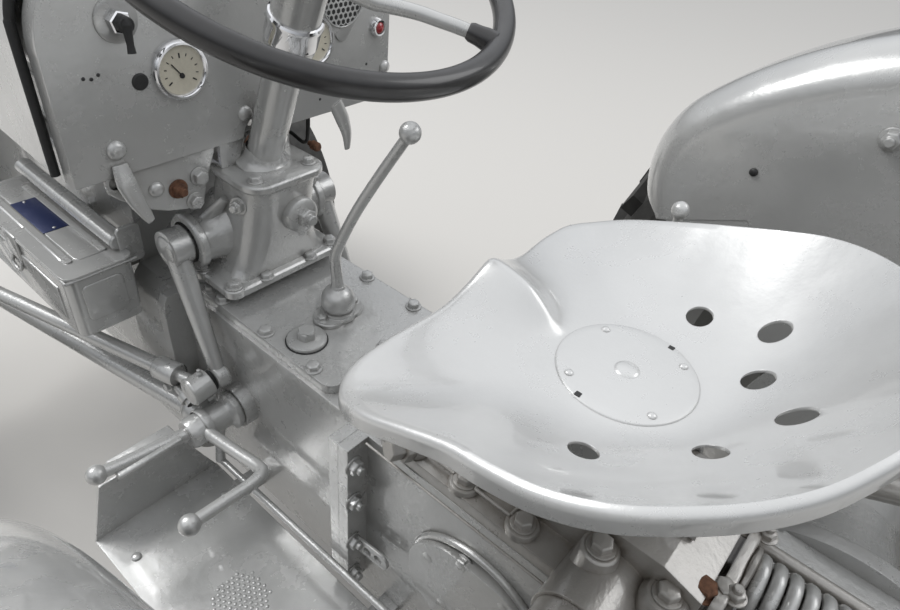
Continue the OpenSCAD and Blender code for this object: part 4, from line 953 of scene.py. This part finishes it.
# lift cover and centre housing
liftSet = {"flangeZ": 768, "boltX": 98, "boltY": (297, 376, 450), "bossAt": (92, 216), "bossZ": 808,
           "rearAt": (84, 146), "rearZ": 797, "finX": (72, 100), "finY": ((312, 361), (390, 436)), "fin": 2.4}
flangeZ, boltX = liftSet["flangeZ"], liftSet["boltX"]
scatter("liftBolts", "hex", [((sx * boltX, y, flangeZ), up, 19) for sx in (-1, 1) for y in liftSet["boltY"]]
        + [((-44, 108, 800), up, 18), ((40, 116, 800), up, 18)], wornPaint)
for sx, word in ((-1, "Left"), (1, "Right")):
    for k, y in enumerate(liftSet["boltY"]):
        lathe("liftLobe" + word + str(k), [(19.5, -8), (19, -2), (17.5, 0.4), (0, 0.5)], (sx * boltX, y, flangeZ), up,
              wornPaint, sides=32)
    # raised bosses beside the lift shaft
    x, y = liftSet["bossAt"]
    lathe("liftBoss" + word, [(30, 744), (25, 770), (21, 800), (19.5, 806), (17, 808), (0, 808)], (sx * x, y, 0), up,
          wornPaint, sides=36)
    scatter("liftBossBolt" + word, "hex", [((sx * x, y, liftSet["bossZ"]), up, 20)], wornPaint)
    x, y = liftSet["rearAt"]
    lathe("liftRear" + word, [(28, 740), (24, 790), (19, 797), (0, 798)], (sx * x, y, 0), up, wornPaint, sides=36)
    scatter("liftRearBolt" + word, "hex", [((sx * x, y, liftSet["rearZ"]), up, 20)], wornPaint)
    # fins between the bolts
    inner, outer = liftSet["finX"]
    for k, (y0, y1) in enumerate(liftSet["finY"]):
        fins = [("Fin", j, (x, y0), (x, y1)) for j, x in enumerate((inner, outer))]
        fins += [("End", j, (inner, y), (outer, y)) for j, y in enumerate((y0, y1))]
        for part, j, a, b in fins:
            ends = [(sx * x, y, flangeZ + 1) for x, y in (a, b)]
            tube("lift" + part + word + str(k) + str(j), ends, liftSet["fin"], wornPaint, straight=True, sides=10)
    lathe("liftPlug" + word, [(0, 30), (12, 30), (13, 28), (13, 12), (18, 12), (18, 0)], (sx * 108, 452, 770),
          (sx, 0.3, 0.3), wornPaint, sides=6 if sx < 0 else 24, smooth=20)
scatter("liftRusty", "hex", [((-58, 122, 800), up, 20)], rustBrown)
for name, x in (("coverJoint", -126), ("coverJointRight", 126)):
    tube(name, [(x, 118, 745), (x, 505, 745)], 1.8, wornPaint, straight=True, sides=10)

# joint flange nuts, and the round plate on each side of the housing
sideSet = {"flangeY": 511, "nutZ": (470, 550, 640, 712), "plateY": 325, "plateZ": 612, "ring": (92, 78),
           "bolts": (70, 58)}
for s, word in ((-1, "Left"), (1, "Right")):
    plateY, sideZ = sideSet["plateY"], sideSet["plateZ"]
    scatter("flangeNuts" + word, "nut", [((s * 141, sideSet["flangeY"], z), back, 18) for z in sideSet["nutZ"]],
            castPaint)
    long, high = sideSet["ring"]
    ring = [(s * 119.5, plateY + long * cosd(a), sideZ + high * sind(a)) for a in range(0, 360, 15)]
    tube("coverRing" + word, ring, 5, castPaint, closed=True, per=3, sides=12)
    long, high = sideSet["bolts"]
    bolts = [(s * 121, plateY + long * cosd(a), sideZ + high * sind(a)) for a in (20, 75, 130, 185, 240, 300)]
    scatter("coverPlateBolts" + word, "hex", [(place, (s, 0, 0), 16) for place in bolts], castPaint)
# bracket with a keyhole, under the left flange
plate("keyholeBracket", roundedOutline(66, 30, 14, 6), 4, ((-134, 482, 546), (0, -1, 0.15), (0, 0.15, 1)), greyPaint,
      bevel=1, holes=[(-4, 0, 7), (16, 0, 7)])
print("stage: housing details")

# draft spring in its yoke
springSet = {"r": 31, "wire": 7, "turns": 8, "perTurn": 20, "from": 90, "to": -34, "z": 772, "armX": 58}
steps = springSet["turns"] * springSet["perTurn"]
coil = []
for k in range(steps + 1):
    turn = 2 * math.pi * k / springSet["perTurn"]
    y = springSet["from"] + (springSet["to"] - springSet["from"]) * k / steps
    coil.append((springSet["r"] * math.cos(turn), y, springSet["z"] + springSet["r"] * math.sin(turn)))
springCoil = tube("springCoil", coil, springSet["wire"], castPaint, straight=True, sides=14)
lathe("springCore", [(0, 96), (14, 96), (14, -60), (0, -60)], (0, 0, springSet["z"]), ahead, castPaint, sides=32)
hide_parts("draft_spring")
plate("yokePlate", roundedOutline(148, 63, 14), 12, ((0, 112, 776), right, up), wornPaint, bevel=3)
for name, y in (("yokeDisc", 94), ("yokeEndDisc", -40)):
    lathe(name, [(0, 6), (36, 6), (40, 4), (40, 0), (36, -2), (0, -2)], (0, y, springSet["z"]), ahead, wornPaint)
for s in (-1, 1):
    ear = [(u - 82, v + 770) for u, v in roundedOutline(66, 60, 26, 8)]
    plate("yokeEar" + str(s + 1), ear, 13, ((s * 20 - 6.5, 0, 0), ahead, up), wornPaint, bevel=2,
          holes=[(-90, 772, 9.8)])
    armX = s * springSet["armX"]
    tube("yokeArm" + str(s + 1), [(armX, 104, 770), (armX, -40, 770)], 8, wornPaint, straight=True, sides=18)
block("yokeBridge", (-66, -54, 744), (66, -40, 798), wornPaint, bevel=4)
scatter("yokeBolts", "nut", [((s * springSet["armX"], -54, 770), back, 22) for s in (-1, 1)]
        + [((s * 44, 98, 802), up, 16) for s in (-1, 1)], wornPaint)
print("stage: draft spring")

# fenders
fenderSet = {"wall": nodeBox("fender_right")[0].x + 6.5, "edge": nodeBox("fender_right")[1].x, "rise": 633,
             "axleZ": 602, "noseR": 191, "noseAngle": 45, "lipEnd": -24, "rearAngle": 152, "rollHigh": 56,
             "rollWide": 68, "slope": 16, "thick": 2.4, "tail": 380, "tuck": 14, "cutBack": 250, "cutFrom": 34,
             "columns": 72, "crownPart": 0.7, "webR": 128, "drumR": 192, "stayR": 204}
quarter = 1.57  # of a turn, in radians
fenderBend = quarter * (fenderSet["rollHigh"] + fenderSet["rollWide"]) / 2
fenderCrown = fenderSet["edge"] - fenderSet["wall"] - fenderSet["rollWide"]


def fenderProfile(r, along):
    # along runs from the outer edge over the crown and roll, then down the wall
    f = fenderSet
    if along < fenderCrown:
        t = along / fenderCrown
        return f["edge"] - fenderCrown * t, r - f["slope"] * (1 - t) ** 2.6
    if along < fenderCrown + fenderBend:
        a = (along - fenderCrown) / fenderBend * math.pi / 2
        return f["wall"] + f["rollWide"] * (1 - math.sin(a)), r - f["rollHigh"] * (1 - math.cos(a))
    return f["wall"], r - f["rollHigh"] - (along - fenderCrown - fenderBend)


def fenderStations(nose):
    # centre, radius, angle and length of wall for each cut: first round the nose, then along the crown
    f = fenderSet
    stations = []
    for a in range(f["lipEnd"], f["noseAngle"], 3):
        r = f["noseR"] - f["tuck"] * (min(max((38 - a) / 60, 0), 1)) ** 1.4
        stations.append((nose, r, a, r - f["rollHigh"] - 0.6))
    return stations, [((0, 0), f["rise"], a, f["tail"]) for a in range(f["noseAngle"], f["rearAngle"] + 1, 2)]


def makeFender(s, word):
    f = fenderSet
    axleZ, columns, crownPart = f["axleZ"], f["columns"], f["crownPart"]
    nose = arc(f["rise"] - f["noseR"], [f["noseAngle"]])[0]
    noseStations, crownStations = fenderStations(nose)
    across = fenderCrown + fenderBend
    bm = bmesh.new()
    grid = []
    for centre, r, a, tail in noseStations + crownStations:
        start = 0
        if centre == nose and a < f["cutFrom"]:
            t = (f["cutFrom"] - a) / (f["cutFrom"] - f["lipEnd"])
            start = f["cutBack"] * t * t * (3 - 2 * t)
        row = []
        for k in range(columns + 1):
            part = k / columns
            along = start + (across - start) * part / crownPart
            if part >= crownPart:
                along = across + tail * (part - crownPart) / 0.3
            x, rr = fenderProfile(r, along)
            row.append(bm.verts.new(at(s * x, centre[0] + rr * cosd(a), axleZ + centre[1] + rr * sind(a))))
        grid.append(row)
    bent = math.ceil(crownPart * columns)
    for n, (a, b) in enumerate(zip(grid, grid[1:])):
        joint = n == len(noseStations) - 1
        faces = [(a[k], a[k + 1], b[k + 1], b[k]) for k in range(bent if joint else columns)]
        if joint:
            # the wall between nose and crown is one flat face down to the nose centre
            faces.append(tuple(a[bent:]) + tuple(reversed(b[bent:bent + 7])))
        for face in faces:
            bm.faces.new(face if s > 0 else tuple(reversed(face)))
    mesh = bpy.data.meshes.new("fenderCrown" + word)
    bm.to_mesh(mesh)
    bm.free()
    crown = piece("fenderCrown" + word, mesh, greyPaint, smooth=60)
    thicken(crown, f["thick"], 60)
    # flat web between the nose and the brake drum
    outline = [(nose[0], axleZ + nose[1])] + arc(f["webR"], (-14, -22), nose[0], axleZ + nose[1])
    outline += arc(260, (26,), 0, axleZ) + arc(f["drumR"], (24, 31, 38, 46), 0, axleZ)
    plate("fenderWall" + word, outline, 2, ((s * (f["wall"] + 1.6) - 1, 0, 0), ahead, up), greyPaint, bevel=0.6)
    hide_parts("fender_" + word.lower())
    stay = [(s * (f["wall"] - 4), y, z) for y, z in arc(f["stayR"], range(55, 126, 5), 0, axleZ)]
    tube("fenderStay" + word, stay, 10, castPaint, straight=True, sides=12, flat=(0.5, Vector(right)))
    bolts = [(r * cosd(a), axleZ + r * sind(a)) for r, a in ((225, 60), (225, 90), (225, 120), (520, 68))]
    scatter("fenderBolts" + word, "nut", [((s * (f["wall"] - 0.5), y, z), (-s, 0, 0), 20) for y, z in bolts],
            castPaint)


for s, word in ((-1, "Left"), (1, "Right")):
    makeFender(s, word)
# a black dome on the right fender's wall: painted shade inside a hole
scatter("fenderHole", "dome", [((451.6, 330, 986), (-1, 0, 0), 12)], blackRubber)
print("stage: fenders")

# footplates: embossed dots and bolts
dotSet = {"across": 8.2, "along": 7.1, "rows": 5, "reach": 40, "at": (-266, 611), "size": 5.4, "top": 429.6}
dots = []
for i in range(-dotSet["rows"], dotSet["rows"] + 1):
    for j in range(-dotSet["rows"], dotSet["rows"] + 1):
        if math.hypot(dotSet["across"] * i, dotSet["along"] * j) < dotSet["reach"]:
            dots.append((dotSet["at"][0] + dotSet["across"] * (i + 0.5 * (j % 2)),
                         dotSet["at"][1] + dotSet["along"] * j))
for s in (-1, 1):
    scatter("plateDots" + str(s + 1), "dome", [((-s * x, y, dotSet["top"]), up, dotSet["size"]) for x, y in dots],
            greyPaint)
    scatter("plateBolts" + str(s + 1), "dome", [((s * x, y, 429.8), up, 15) for x in (178, 330) for y in (455, 775)],
            greyPaint)
print("stage: footplates")

# valve stems of the tyres
for kind in ("rear", "front"):
    for s, word in ((1, "right"), (-1, "left")):
        lo, hi = nodeBox(kind + "_rim_" + word)
        tyreLo, tyreHi = nodeBox(kind + "_tyre_" + word)
        x = (tyreLo.x + tyreHi.x) / 2 + s * ((tyreHi.x - tyreLo.x) / 2) * 0.2
        foot = Vector((x, (lo.y + hi.y) / 2, (lo.z + hi.z) / 2 + (tyreHi.z - tyreLo.z) / 2 * 0.6))
        stem = [foot - Vector((0, 0, 12)), foot + Vector((s * 20, 0, -22)), foot + Vector((s * 34, 0, -26))]
        tube("valve_" + kind + word, stem, [4, 3.4, 3], blackRubber, kind + "_wheel_" + word, sides=12)
print("stage: wheels")

# camera at the photograph's place
cameraSet = {"place": (-490.7, 138, 1368), "lens": 26.23, "right": (0.646, -0.7576, 0.0937),
             "up": (0.4225, 0.4571, 0.7827), "back": (-0.6358, -0.466, 0.6153)}
lens = bpy.data.cameras.new("photoCamera")
lens.sensor_width = 36
lens.lens = cameraSet["lens"]
lens.clip_start = 0.02
camera = bpy.data.objects.new("photoCamera", lens)
bpy.context.scene.collection.objects.link(camera)
camRight, camUp, camBack = (Vector(cameraSet[k]).normalized() for k in ("right", "up", "back"))
turn = Matrix((camRight, camUp, camBack)).transposed()
camera.matrix_world = Matrix.Translation(at(*cameraSet["place"])) @ turn.to_4x4()
bpy.context.scene.camera = camera

# floor, world and lamps
floorSet = {"radius": 80, "corners": 64, "lit": (0.22, 0.21, 0.19), "seen": (0.50, 0.485, 0.46)}
floorMesh = bpy.data.meshes.new("floor")
turns = [2 * math.pi * k / floorSet["corners"] for k in range(floorSet["corners"])]
floorMesh.from_pydata([(floorSet["radius"] * math.cos(t), floorSet["radius"] * math.sin(t), 0) for t in turns], [],
                      [tuple(range(floorSet["corners"]))])
floor = bpy.data.objects.new("floor", floorMesh)
bpy.context.scene.collection.objects.link(floor)
floorMat, floorTree, floorShader = newMaterial("floor")
seenBy = floorTree.nodes.new("ShaderNodeLightPath")
direct = floorTree.nodes.new("ShaderNodeMath")
direct.operation = "MAXIMUM"
link(floorTree, seenBy, "Is Camera Ray", direct, 0)
link(floorTree, seenBy, "Is Glossy Ray", direct, 1)
floorTone = mixColour(floorTree, direct, "Value", floorSet["lit"], floorSet["seen"])
floorTree.links.new(floorTone.outputs[2], floorShader.inputs["Base Color"])
floorShader.inputs["Roughness"].default_value = 0.8
floorMesh.materials.append(floorMat)

worldSet = {"seen": (0.40, 0.398, 0.39), "strength": 1.2,
            "sky": [(0.0, (0.07, 0.07, 0.07)), (0.1, (0.16, 0.165, 0.17)), (0.35, (0.5, 0.52, 0.55)),
                    (0.7, (0.95, 0.97, 1.0))]}
world = bpy.data.worlds.new("studio")
bpy.context.scene.world = world
world.use_nodes = True
skyTree = world.node_tree
background = skyTree.nodes["Background"]
skyCoords = skyTree.nodes.new("ShaderNodeTexCoord")
skyParts = skyTree.nodes.new("ShaderNodeSeparateXYZ")
link(skyTree, skyCoords, "Generated", skyParts, "Vector")
sky = ramp(skyTree, skyParts, "Z", worldSet["sky"])
skySeen = skyTree.nodes.new("ShaderNodeLightPath")
skyMix = mixColour(skyTree, skySeen, "Is Camera Ray", sky.outputs["Color"], worldSet["seen"])
skyTree.links.new(skyMix.outputs[2], background.inputs["Color"])
background.inputs["Strength"].default_value = worldSet["strength"]


def softLamp(name, place, aim, size, power):
    data = bpy.data.lights.new(name, "AREA")
    data.size = size
    data.energy = power
    lamp = bpy.data.objects.new(name, data)
    lamp.location = place
    lamp.rotation_euler = (Vector(aim) - Vector(place)).to_track_quat("-Z", "Y").to_euler()
    bpy.context.scene.collection.objects.link(lamp)


softLamp("keyLamp", (-1.5, 3.5, 5.0), (0, 0, 0.8), 2.4, 210)
softLamp("fillLamp", (3.5, -3.0, 4.0), (0, 0, 0.8), 3.0, 70)
bpy.context.scene.view_settings.view_transform = "Standard"
print("stage: camera and light")
